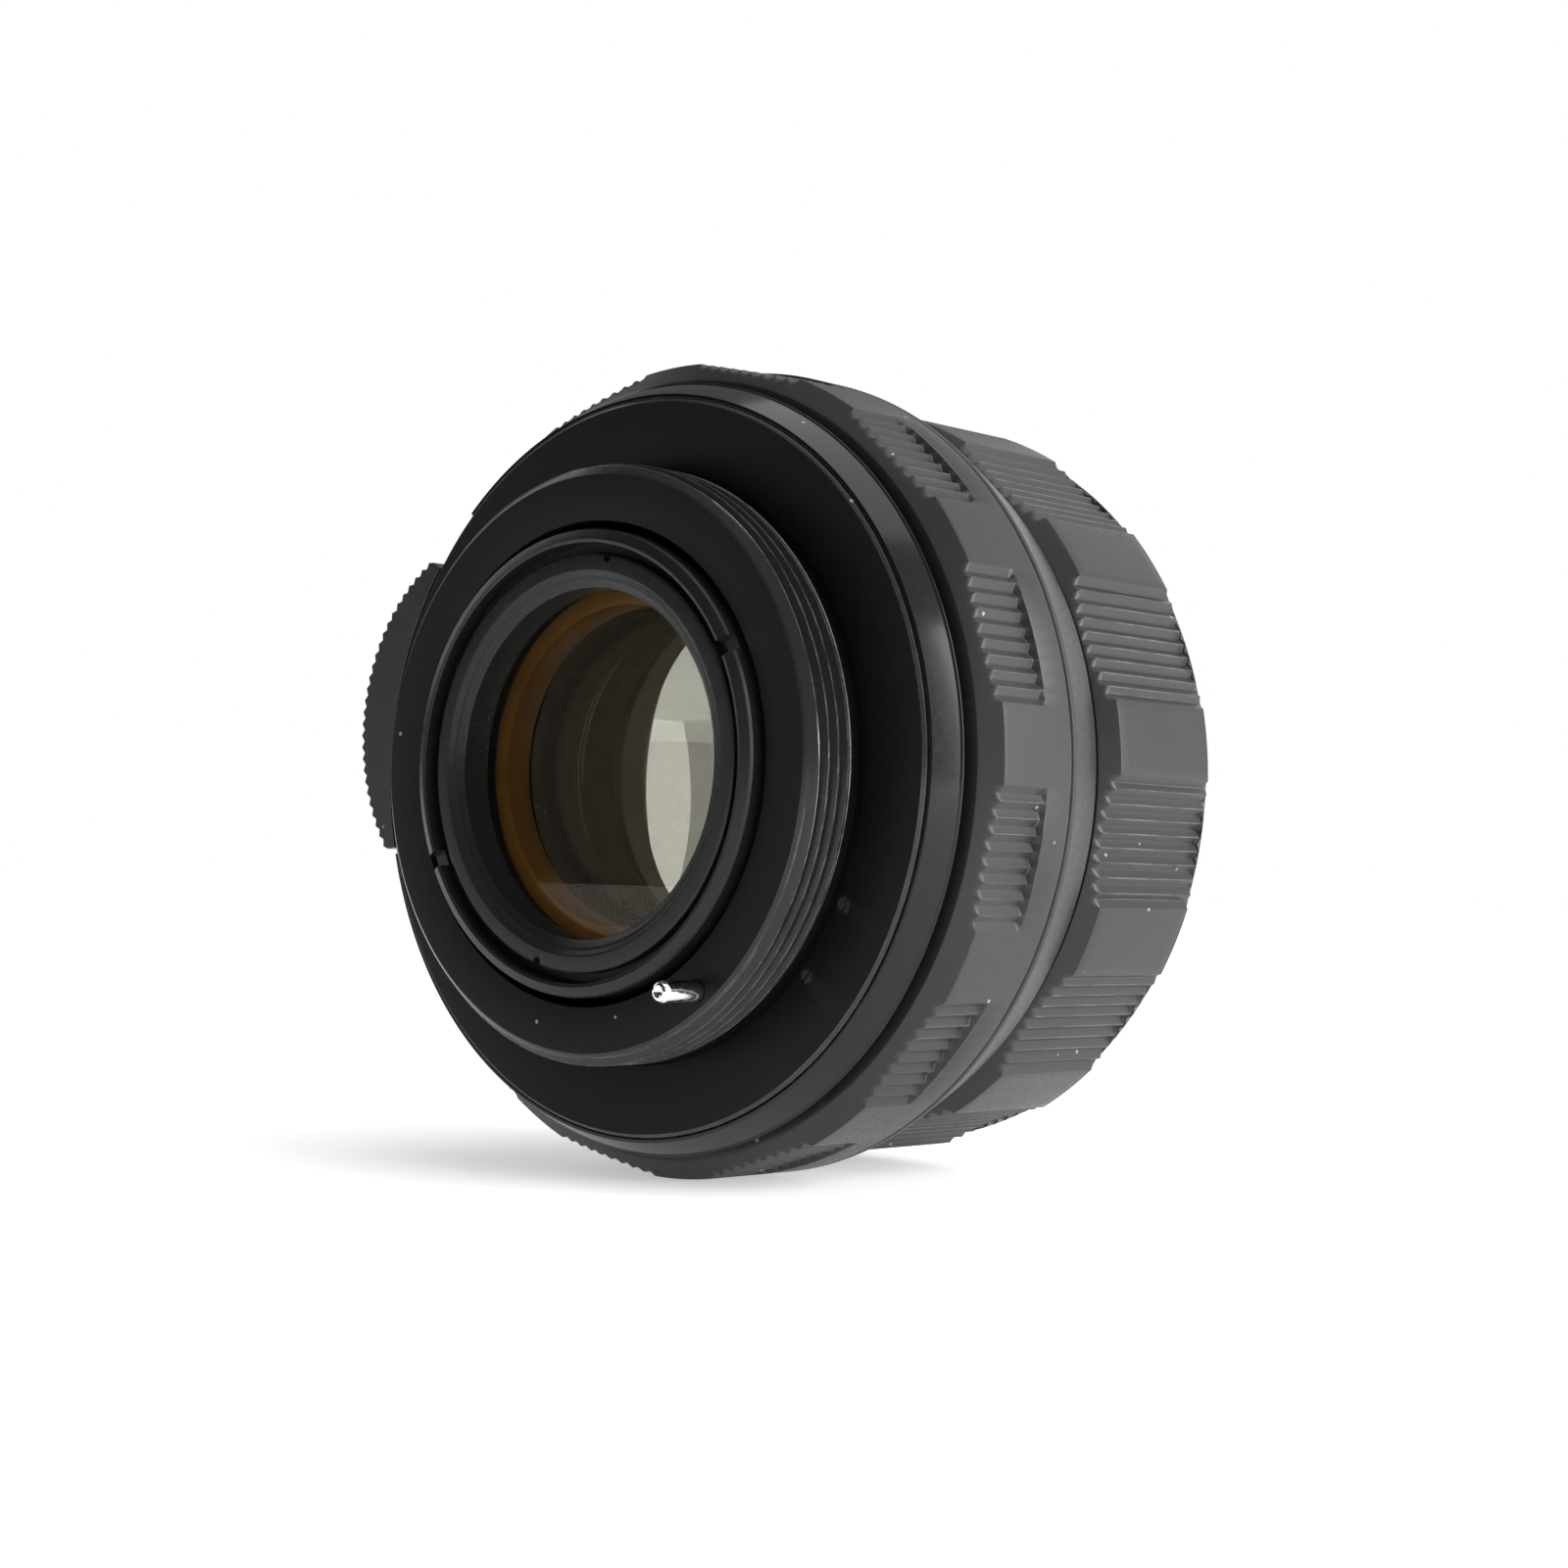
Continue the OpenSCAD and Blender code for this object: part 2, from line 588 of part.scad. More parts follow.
filter_r = filter_d / 2;
name_ring_r = filter_r - 0.55;
name_ring_land = 1.2;
bezel_front_r = filter_r + 1;
bezel_web_t = 2.2;
module front_bezel() {
    skirt_in = bezel_r - bezel_skirt_wall;
    color(paint) on_axis() turned([[skirt_in, skirt_y], [bezel_r, skirt_y], [bezel_r, focus_ring_end + 0.1],
        [bezel_front_r, focus_ring_end + 0.7], [bezel_front_r, bezel_end - 0.3],
        [bezel_front_r - 0.3, bezel_end], [filter_r + 0.25, bezel_end], [filter_r, bezel_end - 0.25],
        [filter_r, filter_y], [name_ring_r + seat_gap, filter_y], [name_ring_r + seat_gap, web_front],
        [barrel_r + seat_gap, web_front], [barrel_r + seat_gap, web_front - bezel_web_t],
        [skirt_in, web_front - bezel_web_t]]);
}

ring_seat_r = front_glass_d / 2 + 1.5;
cell_flange_end = front_group + 31.4;
module name_ring() {
    inner = ring_seat_r + 0.1;
    top = name_ring_y + name_ring_t;
    color(paint) on_axis() turned([[inner, cell_flange_end + 0.1], [cell_r - 0.15, cell_flange_end + 0.1],
        [cell_r - 0.15, name_ring_y], [name_ring_r, name_ring_y], [name_ring_r, top],
        [name_ring_r - name_ring_land, top], [name_ring_r - name_ring_land - 0.3, top - 0.15],
        [inner, cell_flange_end + 0.9]]);
}
module front_retaining_ring() {
    foot = first_edge_y + 0.6;
    color(paint) on_axis() difference() {
        turned([[front_glass_d / 2 - 0.5, foot], [ring_seat_r - seat_gap, foot],
            [ring_seat_r - seat_gap, cell_flange_end + 1], [front_glass_d / 2 + 0.3, cell_flange_end + 1]]);
        for (t = [45, 225]) at(t, ring_seat_r) translate([-1, -0.5, cell_flange_end + 0.3]) cube([2, 1, 2]);
    }
}
module front_cell() {
    r1 = front_glass_d / 2 + seat_gap;
    r2 = second_glass_d / 2 + seat_gap;
    r3 = third_glass_d / 2 + seat_gap;
    foot = third_seat_y - 0.9;
    color(paint) on_axis() turned([[third_clear_r + 1.6, foot], [r3 + 1.6, foot], [r3 + 1.6, foot + 1.5],
        [r1 + 1.6, second_seat_y], [r1 + 1.6, first_edge_y - 0.6], [cell_r, first_edge_y - 0.6],
        [cell_r, cell_flange_end], [ring_seat_r, cell_flange_end], [ring_seat_r, first_edge_y + 0.1],
        [r1, first_edge_y + 0.1], [r1, second_edge_y + 0.1], [r2, second_edge_y + 0.1],
        [r2, second_seat_y], [r3, second_seat_y], [r3, third_seat_y], [third_clear_r + 1.6, third_seat_y]]);
}
module front_spacer() {
    inner = second_glass_d / 2 - 0.5;
    outer = front_glass_d / 2;
    color(paint) on_axis() turned([[inner, second_edge_y + 0.4], [outer, second_edge_y + 0.4],
        [outer, first_seat_y - 0.02], [inner + 0.8, first_seat_y - 0.02]]);
}

// a glass element: a radius of curvature above 0 bulges out, below 0 it is hollow
module dome(radius, vertex, way) {
    if (radius > 0) translate([0, 0, vertex - way * radius]) sphere(radius);
    else translate([0, 0, vertex - far]) cylinder(h = 2 * far, r = far);
}
module hollow(radius, vertex, way) {
    if (radius < 0) translate([0, 0, vertex - way * radius]) sphere(-radius);
}
module element(d, rear, rear_r, front, front_r, rear_edge, front_edge) {
    $fn = 240;
    difference() {
        intersection() {
            disc(rear_edge, front_edge, d / 2);
            dome(rear_r, rear, -1);
            dome(front_r, front, 1);
        }
        hollow(rear_r, rear, -1);
        hollow(front_r, front, 1);
    }
}
module front_element() {
    color(clear_glass) on_axis() element(front_glass_d, first_rear_y, -first_rear_r,
        first_front_y, first_front_r, first_seat_y, first_front_y);
}
module second_element() {
    color(clear_glass) on_axis() element(second_glass_d, second_rear_y, -second_rear_r,
        second_front_y, second_front_r, second_seat_y + 0.02, second_front_y);
}
module third_element() {
    color(clear_glass) on_axis() element(third_glass_d, third_rear_y, -third_rear_r,
        third_front_y, third_front_r, third_seat_y + 0.02, third_front_y);
}

// ---- iris ----

blade_step = 360 / blades;
module iris_housing() {
    color(paint) on_axis() {
        ring(iris_floor_y, iris_floor_y + iris_floor_t, iris_open_r - 0.3, cell_r);
        ring(iris_cover_y + iris_cover_t + seat_gap, iris_floor_y + eps, iris_wall_r, cell_r);
        for (i = [0 : blades - 1]) rotate([0, 0, i * blade_step])
            translate([pivot_r, 0]) disc(blade_y - 0.1, iris_floor_y + eps, pivot_pin_r);
    }
}
// one blade in its own layer; its pivot is on the housing and its pin in the drive ring
module iris_blade(index) {
    layer = blade_y + index * blade_pitch;
    arm = drive_arm;
    color(bare) on_axis() rotate([0, 0, index * blade_step]) difference() {
        union() {
            translate([0, 0, layer]) linear_extrude(blade_t) difference() {
                union() {
                    intersection() {
                        difference() {
                            circle(blade_out_r);
                            circle(iris_open_r);
                        }
                        polygon([for (t = [-5, 15, 35, 55, 75, 95, blade_end_deg]) ring_point(40, t), [0, 0]]);
                    }
                    translate([pivot_r, 0]) rotate([0, 0, -blade_turn / 2]) {
                        translate([0, -0.7]) square([arm, 1.4]);
                        translate([arm, 0]) circle(0.7);
                    }
                    translate([pivot_r, 0]) circle(1.1);
                }
                for (t = [blade_step, 2 * blade_step]) rotate([0, 0, t])
                    translate([pivot_r, 0]) circle(pivot_pin_r + 0.9);
            }
            translate(concat([pivot_r, 0] + ring_point(arm, -blade_turn / 2), 0))
                disc(drive_ring_y + 0.05, layer + blade_t, drive_pin_r);
        }
        translate([pivot_r, 0]) disc(0, 40, pivot_pin_r + bearing_gap);
    }
}
module iris_blade_1() { iris_blade(0); }
module iris_blade_2() { iris_blade(1); }
module iris_blade_3() { iris_blade(2); }
module iris_blade_4() { iris_blade(3); }
module iris_blade_5() { iris_blade(4); }
module iris_blade_6() { iris_blade(5); }

module iris_drive_ring() {
    slot_w = 2 * drive_pin_r + 0.2;
    slot_in = drive_r - drive_pin_r - 0.15;
    slot_out = pivot_r + drive_arm + drive_pin_r + 0.12;
    color(bare) on_axis() {
        difference() {
            ring(drive_ring_y, drive_ring_y + drive_ring_t, drive_ring_in, drive_ring_out);
            for (i = [0 : blades - 1]) rotate([0, 0, i * blade_step - drive_angle])
                translate([slot_in, -slot_w / 2, 0]) cube([slot_out - slot_in, slot_w, 30]);
        }
        arc_bar(tail_angle, tail_deg / 2, barrel_y - 2.5, drive_ring_y + eps, drive_ring_in, tail_out_r);
    }
}
// the opening that the tail of the drive ring passes through, with its travel
module tail_slot(y0, y1) {
    arc_bar(tail_angle - drive_angle, tail_deg / 2 + drive_angle + 1, y0, y1,
        drive_ring_in - free_gap, tail_out_r + free_gap);
}
module iris_cover() {
    color(paint) on_axis() difference() {
        ring(iris_cover_y, iris_cover_y + iris_cover_t, cell_front_r + 0.1, cell_r);
        tail_slot(iris_cover_y - 1, iris_cover_y + iris_cover_t + 1);
    }
}

// ---- rear group ----

ring_thread_r = 14.6;
rim_in_r = 15.3;
tube_slot_angles = [29.3, 206.5];
tube_slot_w = 1.2;
module rear_cell() {
    glass_r = rear_glass_d / 2 + seat_gap;
    pair_r = pair_glass_d / 2 + seat_gap;
    color(paint) on_axis() difference() {
        turned([[rim_in_r, rear_rim_y], [rim_in_r + 0.25, rear_rim_y - 0.05],
            [rear_tube_r - 0.12, rear_rim_y + 0.2], [rear_tube_r, rear_rim_y + 0.45], [rear_tube_r, cell_flange_y], [cell_r, cell_flange_y],
            [cell_r, cell_flange_y + cell_flange_t], [cell_front_r, cell_flange_y + cell_flange_t],
            [cell_front_r, rear_cell_front_y], [pair_r, rear_cell_front_y],
            [pair_r, pair_seat_y], [pair_shoulder_r, pair_seat_y],
            [pair_shoulder_r, rear_seat_y], [glass_r, rear_seat_y], [glass_r, rear_edge_y - seat_gap],
            [ring_thread_r, rear_edge_y - seat_gap], [ring_thread_r, tube_groove_y],
            [rim_in_r, tube_groove_y]]);
        for (t = tube_slot_angles) at(t, rim_in_r + 0.5)
            translate([-1.2, -tube_slot_w / 2, rear_rim_y - 1]) cube([2.4, tube_slot_w, 1.9]);
        tail_slot(cell_flange_y - 1, cell_flange_y + cell_flange_t + 1);
    }
}
module rear_cell_lock_ring() {
    color(brass) on_axis() difference() {
        ring(cell_flange_y - 1.3, cell_flange_y - 0.05, tail_out_r + free_gap, cell_r);
        for (t = [120, 300]) at(t, cell_r) translate([-0.6, -0.5, 0]) cube([2, 1, cell_flange_y - 0.7]);
    }
}
module pair_retaining_ring() {
    color(paint) on_axis() ring(pair_edge_y + 0.03, rear_cell_front_y, pair_clear_r + 0.3, pair_glass_d / 2);
}
module pair_front_element() {
    color(clear_glass) on_axis() element(pair_glass_d, pair_cement_y, -pair_cement_r,
        pair_front_y, -pair_front_r, pair_cement_y - sag(pair_cement_r, pair_glass_d / 2), pair_edge_y);
}
module pair_rear_element() {
    color(amber_glass) on_axis() element(pair_glass_d, pair_rear_y, pair_rear_r,
        pair_cement_y - 0.02, pair_cement_r, pair_rear_y, pair_cement_y - 0.02);
}
module rear_element() {
    color(amber_glass) on_axis() element(rear_glass_d, rear_rear_y, rear_rear_r,
        rear_front_y, rear_front_r, rear_rear_y, rear_front_y);
}
rear_ring_y = -5.7;
rear_clear_r = 12.25;
rear_land_r = 13.4;
ring_notch_angles = [81, 256];
notch_r = 0.35;
module rear_retaining_ring() {
    ring_out_r = ring_thread_r - seat_gap;
    color(paint) on_axis() difference() {
        turned([[rear_clear_r, rear_ring_y + 0.65], [rear_land_r - 0.1, rear_ring_y + 0.08],
            [rear_land_r, rear_ring_y], [ring_out_r - 0.15, rear_ring_y], [ring_out_r, rear_ring_y + 0.1],
            [ring_out_r, rear_edge_y - 0.1], [rear_glass_d / 2 - 0.05, rear_edge_y - 0.1],
            [rear_clear_r, rear_edge_y - 0.55]]);
        for (t = ring_notch_angles) at(t, ring_out_r - 0.2) disc(rear_ring_y - 1, rear_ring_y + 0.5, notch_r);
    }
}

rear_mount();
register_face_screws();
base_barrel();
auto_manual_switch();
stop_down_pin();
pin_spring();
pin_spring_cap();
aperture_ring();
aperture_drive_screw();
aperture_cam_ring();
click_ball();
click_spring();
depth_scale_ring();
outer_helicoid();
guide_keys();
guide_key_screws();
focus_stop();
focus_ring();
focus_helicoid();
focus_ring_screws();
optical_barrel();
front_bezel();
name_ring();
front_retaining_ring();
front_cell();
front_element();
front_spacer();
second_element();
third_element();
iris_housing();
iris_blade_1();
iris_blade_2();
iris_blade_3();
iris_blade_4();
iris_blade_5();
iris_blade_6();
iris_drive_ring();
iris_cover();
rear_cell();
rear_cell_lock_ring();
pair_retaining_ring();
pair_front_element();
pair_rear_element();
rear_element();
rear_retaining_ring();
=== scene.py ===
"""Looks of the prime lens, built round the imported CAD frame.

Everything is in metres in the frame's own axes: the optical axis is +Y, the origin is the centre
of the register face, and an angle t is counted from +X towards +Z, as seen from behind.
Lengths in this file are written in millimetres and turned into metres by mm().
"""
import json
import math

import bpy
from mathutils import Matrix, Vector


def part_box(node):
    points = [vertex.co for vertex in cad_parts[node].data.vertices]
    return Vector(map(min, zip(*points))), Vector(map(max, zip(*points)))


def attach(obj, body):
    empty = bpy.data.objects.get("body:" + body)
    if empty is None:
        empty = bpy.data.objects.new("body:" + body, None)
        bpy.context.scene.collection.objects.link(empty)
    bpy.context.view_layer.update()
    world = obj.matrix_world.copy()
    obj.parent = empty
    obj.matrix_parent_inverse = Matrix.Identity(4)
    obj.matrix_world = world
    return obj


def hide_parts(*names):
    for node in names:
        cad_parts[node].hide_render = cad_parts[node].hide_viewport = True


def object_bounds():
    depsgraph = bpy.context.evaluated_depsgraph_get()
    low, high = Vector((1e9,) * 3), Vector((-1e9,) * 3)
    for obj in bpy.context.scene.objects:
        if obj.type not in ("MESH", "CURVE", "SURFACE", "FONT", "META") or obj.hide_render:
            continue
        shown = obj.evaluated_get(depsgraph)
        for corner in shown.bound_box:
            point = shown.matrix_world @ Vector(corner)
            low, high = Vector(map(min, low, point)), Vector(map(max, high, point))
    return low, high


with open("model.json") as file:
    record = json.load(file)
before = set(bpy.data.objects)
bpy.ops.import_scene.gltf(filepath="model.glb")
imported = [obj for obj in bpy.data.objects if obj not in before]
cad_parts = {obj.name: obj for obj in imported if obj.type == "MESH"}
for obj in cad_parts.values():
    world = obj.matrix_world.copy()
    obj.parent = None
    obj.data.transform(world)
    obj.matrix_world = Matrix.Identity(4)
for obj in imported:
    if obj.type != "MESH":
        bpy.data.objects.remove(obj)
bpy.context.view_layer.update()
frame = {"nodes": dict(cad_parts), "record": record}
nodes = frame["nodes"]

AROUND = 288          # points round a turned piece
TURN = 2 * math.pi


def mm(value):
    return value / 1000


def radius_of(node):
    """Largest radius of a node about the optical axis, in millimetres."""
    return 1000 * max(math.hypot(v.co.x, v.co.z) for v in nodes[node].data.vertices)


def bore_of(node):
    """Smallest radius of a node about the optical axis, in millimetres."""
    return 1000 * min(math.hypot(v.co.x, v.co.z) for v in nodes[node].data.vertices)


def rear_of(node):
    return 1000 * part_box(node)[0].y


def front_of(node):
    return 1000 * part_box(node)[1].y


# ---------------------------------------------------------------- meshes

def add_mesh(name, points, faces, smooth_deg=32):
    """A new mesh object from points in millimetres, smooth where faces meet at a small angle."""
    mesh = bpy.data.meshes.new(name)
    mesh.from_pydata([tuple(mm(c) for c in p) for p in points], [], faces)
    mesh.validate()
    mesh.update()
    for face in mesh.polygons:
        face.use_smooth = True
    mesh.set_sharp_from_angle(angle=math.radians(smooth_deg))
    piece = bpy.data.objects.new(name, mesh)
    bpy.context.scene.collection.objects.link(piece)
    return piece


def on_circle(r, y, t):
    return (r * math.cos(t), y, r * math.sin(t))


def rounded(outline):
    """Outline corners (y, r, fillet) as plain points, with each fillet drawn as an arc."""
    points, steps = [], 3
    for i, (y, r, fillet) in enumerate(outline):
        here = Vector((y, r))
        back = Vector(outline[i - 1][:2]) - here
        ahead = Vector(outline[(i + 1) % len(outline)][:2]) - here
        half = back.angle(ahead, math.pi) / 2
        if fillet <= 0 or half > math.radians(87):
            points.append((y, r))
            continue
        reach = min(fillet / math.tan(half), 0.45 * back.length, 0.45 * ahead.length)
        size = reach * math.tan(half)
        centre = here + (back.normalized() + ahead.normalized()).normalized() * size / math.sin(half)
        first = here + back.normalized() * reach - centre
        last = here + ahead.normalized() * reach - centre
        sweep = first.angle_signed(last)
        for k in range(steps + 1):
            p = first.copy()
            p.rotate(Matrix.Rotation(-sweep * k / steps, 2))
            points.append(tuple(centre + p))
    return points


def lathe(name, outline, around=None, radius_at=None, height_at=None):
    """A closed solid of revolution. radius_at(r, y, t) and height_at(y, t) may move each point."""
    section = rounded(outline)
    angles = around or [TURN * i / AROUND for i in range(AROUND)]
    n, m = len(section), len(angles)
    points = []
    for t in angles:
        for y, r in section:
            points.append(on_circle(radius_at(r, y, t) if radius_at else r,
                                    height_at(y, t) if height_at else y, t))
    faces = []
    for i in range(m):
        for j in range(n):
            a, b = i * n, ((i + 1) % m) * n
            k = (j + 1) % n
            faces.append((a + j, a + k, b + k, b + j))
    return add_mesh(name, points, faces)


def dish(name, rim_r, rear, front, around=AROUND, rings=24):
    """A lens blank: rear(r) and front(r) give the height of its two faces."""
    points, faces = [], []
    for side, height in enumerate((rear, front)):
        base = len(points)
        points.append((0, height(0), 0))
        for k in range(1, rings + 1):
            r = rim_r * k / rings
            points += [on_circle(r, height(r), TURN * i / around) for i in range(around)]
        for i in range(around):
            j = (i + 1) % around
            tri = (base, base + 1 + i, base + 1 + j)
            faces.append(tri if side == 0 else tri[::-1])
            for k in range(rings - 1):
                a, b = base + 1 + k * around, base + 1 + (k + 1) * around
                quad = (a + i, b + i, b + j, a + j)
                faces.append(quad if side == 0 else quad[::-1])
    rear_rim = 1 + (rings - 1) * around
    front_rim = rear_rim + 1 + rings * around
    for i in range(around):
        j = (i + 1) % around
        faces.append((rear_rim + i, front_rim + i, front_rim + j, rear_rim + j))
    return add_mesh(name, points, faces)


def flip_if_inside_out(piece):
    """Turns the faces over where the mesh's signed volume is negative."""
    mesh = piece.data
    volume = 0.0
    for face in mesh.polygons:
        ring = [mesh.vertices[v].co for v in face.vertices]
        for a, b in zip(ring[1:-1], ring[2:]):
            volume += ring[0].dot(a.cross(b))
    if volume < 0:
        mesh.flip_normals()
        mesh.update()
    return piece


def install(piece, body, slot, material, *replaced):
    """Puts a finished piece on its body, gives it its materials and lets it stand for its CAD nodes. Its slot
    is not used.
    """
    flip_if_inside_out(piece)
    piece.data.materials.clear()
    for one in material if isinstance(material, list) else [material]:
        piece.data.materials.append(one)
    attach(piece, body)
    if replaced:
        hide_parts(*replaced)


# ---------------------------------------------------------------- materials

class Shader:
    """A node tree with short calls for the few nodes that the finishes use."""

    def __init__(self, name):
        self.material = bpy.data.materials.new(name)
        self.material.use_nodes = True
        self.tree = self.material.node_tree
        self.bsdf = self.tree.nodes["Principled BSDF"]
        self.place = self.add("ShaderNodeTexCoord").outputs["Object"]

    def add(self, kind, **inputs):
        node = self.tree.nodes.new(kind)
        for key, value in inputs.items():
            self.feed(node.inputs[key.replace("_", " ")], value)
        return node

    def feed(self, socket, value):
        if isinstance(value, bpy.types.NodeSocket):
            self.tree.links.new(value, socket)
        else:
            socket.default_value = value

    def set(self, **inputs):
        for key, value in inputs.items():
            self.feed(self.bsdf.inputs[key.replace("_", " ")], value)

    def noise(self, scale, detail=4.0, rough=0.55, vector=None):
        node = self.add("ShaderNodeTexNoise", Scale=scale, Detail=detail, Roughness=rough)
        self.feed(node.inputs["Vector"], vector or self.place)
        return node.outputs["Fac"]

    def ramp(self, value, low, high, to_low=0.0, to_high=1.0):
        node = self.add("ShaderNodeMapRange", From_Min=low, From_Max=high, To_Min=to_low, To_Max=to_high)
        node.clamp = True
        self.feed(node.inputs["Value"], value)
        return node.outputs["Result"]

    def math(self, operation, a, b=0.0):
        node = self.add("ShaderNodeMath")
        node.operation = operation
        self.feed(node.inputs[0], a)
        self.feed(node.inputs[1], b)
        return node.outputs[0]

    def mix(self, share, a, b):
        node = self.add("ShaderNodeMix")
        node.data_type = "RGBA"
        self.feed(node.inputs[0], share)
        self.feed(node.inputs[6], a)
        self.feed(node.inputs[7], b)
        return node.outputs[2]

    def bump(self, height, distance, strength):
        node = self.add("ShaderNodeBump", Strength=strength, Distance=distance)
        self.feed(node.inputs["Height"], height)
        return node.outputs["Normal"]

    def edge(self, radius, low=0.02, high=0.2):
        """1 along outside edges that are tighter than radius, 0 on the faces."""
        rounder = self.add("ShaderNodeBevel", Radius=radius)
        rounder.samples = 4
        geometry = self.add("ShaderNodeNewGeometry")
        turn = self.add("ShaderNodeVectorMath")
        turn.operation = "DOT_PRODUCT"
        self.feed(turn.inputs[0], rounder.outputs["Normal"])
        self.feed(turn.inputs[1], geometry.outputs["Normal"])
        return self.ramp(self.math("SUBTRACT", 1.0, turn.outputs["Value"]), low, high)

    def turning_marks(self, scale):
        """Fine rings round the optical axis: noise stretched along the circle."""
        split = self.add("ShaderNodeSeparateXYZ")
        self.feed(split.inputs[0], self.place)
        x, y, z = (split.outputs[axis] for axis in "XYZ")
        out = self.math("SQRT", self.math("ADD", self.math("MULTIPLY", x, x), self.math("MULTIPLY", z, z)))
        join = self.add("ShaderNodeCombineXYZ")
        self.feed(join.inputs["X"], out)
        self.feed(join.inputs["Y"], y)
        self.feed(join.inputs["Z"], self.math("MULTIPLY", self.math("ADD", x, z), 0.004))
        return self.noise(scale, 3.0, 0.6, join.outputs[0])

    def flattened(self, share):
        """A face's normal, turned part of the way to the optical axis, so that the face bends light less."""
        geometry, split = self.add("ShaderNodeNewGeometry"), self.add("ShaderNodeSeparateXYZ")
        join, unit = self.add("ShaderNodeCombineXYZ"), self.add("ShaderNodeVectorMath")
        unit.operation = "NORMALIZE"
        self.feed(split.inputs[0], geometry.outputs["Normal"])
        for axis in "XYZ":
            part = self.math("MULTIPLY", split.outputs[axis], 1 - share)
            if axis == "Y":
                side = self.math("SIGN", split.outputs["Y"])
                part = self.math("ADD", part, self.math("MULTIPLY", side, share))
            self.feed(join.inputs[axis], part)
        self.feed(unit.inputs[0], join.outputs[0])
        return unit.outputs[0]


def rgb(r, g, b):
    return (r, g, b, 1.0)


def dust(shader, cell, size, share):
    """Sparse specks: 1 inside a few small spots, 0 elsewhere."""
    warp = shader.add("ShaderNodeTexVoronoi", Scale=cell)
    shader.feed(warp.inputs["Vector"], shader.place)
    spot = shader.ramp(warp.outputs["Distance"], size, size * 0.55)
    split = shader.add("ShaderNodeSeparateColor")
    shader.feed(split.inputs[0], warp.outputs["Color"])
    chosen = shader.ramp(split.outputs[0], 1 - share, 1 - share + 0.01)
    return shader.math("MULTIPLY", spot, chosen)


def black_metal(name, color, roughness, coat=0.0, wear=0.35, wear_radius=0.00012, dusting=0.05,
                worn=(0.42, 0.36, 0.27), marks=0.25, shine=0.4, grainy=0.55, bare_from=0.5):
    """Black anodised or painted aluminium: fine grain, turning marks, dust and worn edges."""
    s = Shader(name)
    grain = s.noise(2600.0, 3.0)
    cloud = s.noise(55.0, 5.0)
    rings = s.turning_marks(3500.0)
    patchy = s.noise(190.0, 6.0, 0.7)
    rim = s.math("MULTIPLY", s.edge(wear_radius), s.ramp(patchy, bare_from, bare_from + 0.16))
    rim = s.math("MULTIPLY", rim, wear)
    specks = dust(s, 520.0, 0.09, dusting)
    base = s.mix(s.ramp(cloud, 0.3, 0.7), rgb(*(c * 0.82 for c in color)), rgb(*(c * 1.2 for c in color)))
    base = s.mix(rim, base, rgb(*worn))
    base = s.mix(s.math("MULTIPLY", specks, 0.55), base, rgb(0.5, 0.49, 0.46))
    rough = s.math("ADD", s.ramp(grain, 0.3, 0.7, roughness - 0.05, roughness + 0.06),
                   s.ramp(cloud, 0.35, 0.65, -0.03, 0.03))
    height = s.math("ADD", s.math("MULTIPLY", grain, 0.6), s.math("MULTIPLY", rings, marks * 4))
    s.set(Base_Color=base, Roughness=rough, Metallic=s.math("MULTIPLY", rim, 0.7),
          Normal=s.bump(height, mm(0.006), grainy))
    s.set(Coat_Weight=coat, Coat_Roughness=0.12, Specular_IOR_Level=shine)
    return s.material


def bare_metal(name, color, roughness, marks=0.5):
    s = Shader(name)
    rings = s.turning_marks(2400.0)
    cloud = s.noise(120.0, 5.0)
    base = s.mix(s.ramp(cloud, 0.35, 0.7), rgb(*(c * 0.8 for c in color)), rgb(*color))
    s.set(Base_Color=base, Metallic=1.0, Roughness=s.ramp(rings, 0.3, 0.7, roughness - 0.06, roughness + 0.1),
          Normal=s.bump(rings, mm(0.004), marks))
    return s.material


def glass(name, color, ior, flat, film=(0.10, 0.07, 0.04)):
    """Coated optical glass with a few dust specks. flat is how far its faces bend light as flat ones do."""
    s = Shader(name)
    specks = dust(s, 700.0, 0.07, 0.03)
    s.set(Base_Color=s.mix(specks, rgb(*color), rgb(0.75, 0.74, 0.7)), Transmission_Weight=1.0,
          Roughness=s.math("MULTIPLY", specks, 0.4))
    s.set(IOR=ior, Specular_Tint=rgb(*film), Normal=s.flattened(flat))
    return s.material


def paint_fill(name, color):
    """The paint that fills an engraved mark, slightly uneven and dusty."""
    s = Shader(name)
    cloud = s.noise(700.0, 5.0)
    s.set(Base_Color=s.mix(s.ramp(cloud, 0.35, 0.7), rgb(*(c * 0.75 for c in color)), rgb(*color)),
          Roughness=s.ramp(cloud, 0.3, 0.7, 0.45, 0.65), Normal=s.bump(cloud, mm(0.01), 0.3))
    return s.material


SATIN = black_metal("satin_black", (0.020, 0.020, 0.021), 0.44, shine=0.35)
GRIP = black_metal("grip_black", (0.018, 0.018, 0.019), 0.40, wear=1.0, dusting=0.16, wear_radius=0.00009,
                   worn=(0.55, 0.53, 0.49), bare_from=0.42)
MATT = black_metal("matt_black_paint", (0.005, 0.005, 0.006), 0.50, wear=0.15, dusting=0.04, shine=0.16)
GLOSS = black_metal("gloss_black_paint", (0.005, 0.005, 0.006), 0.20, coat=0.25, wear=0.6, shine=0.22,
                    wear_radius=0.00008, dusting=0.03, marks=0.12, grainy=0.1)
THREADS = black_metal("thread_black", (0.008, 0.008, 0.008), 0.30, coat=0.1, wear=1.0, shine=0.35,
                     wear_radius=0.00008, dusting=0.03, grainy=0.15, worn=(0.5, 0.47, 0.42), bare_from=0.36)
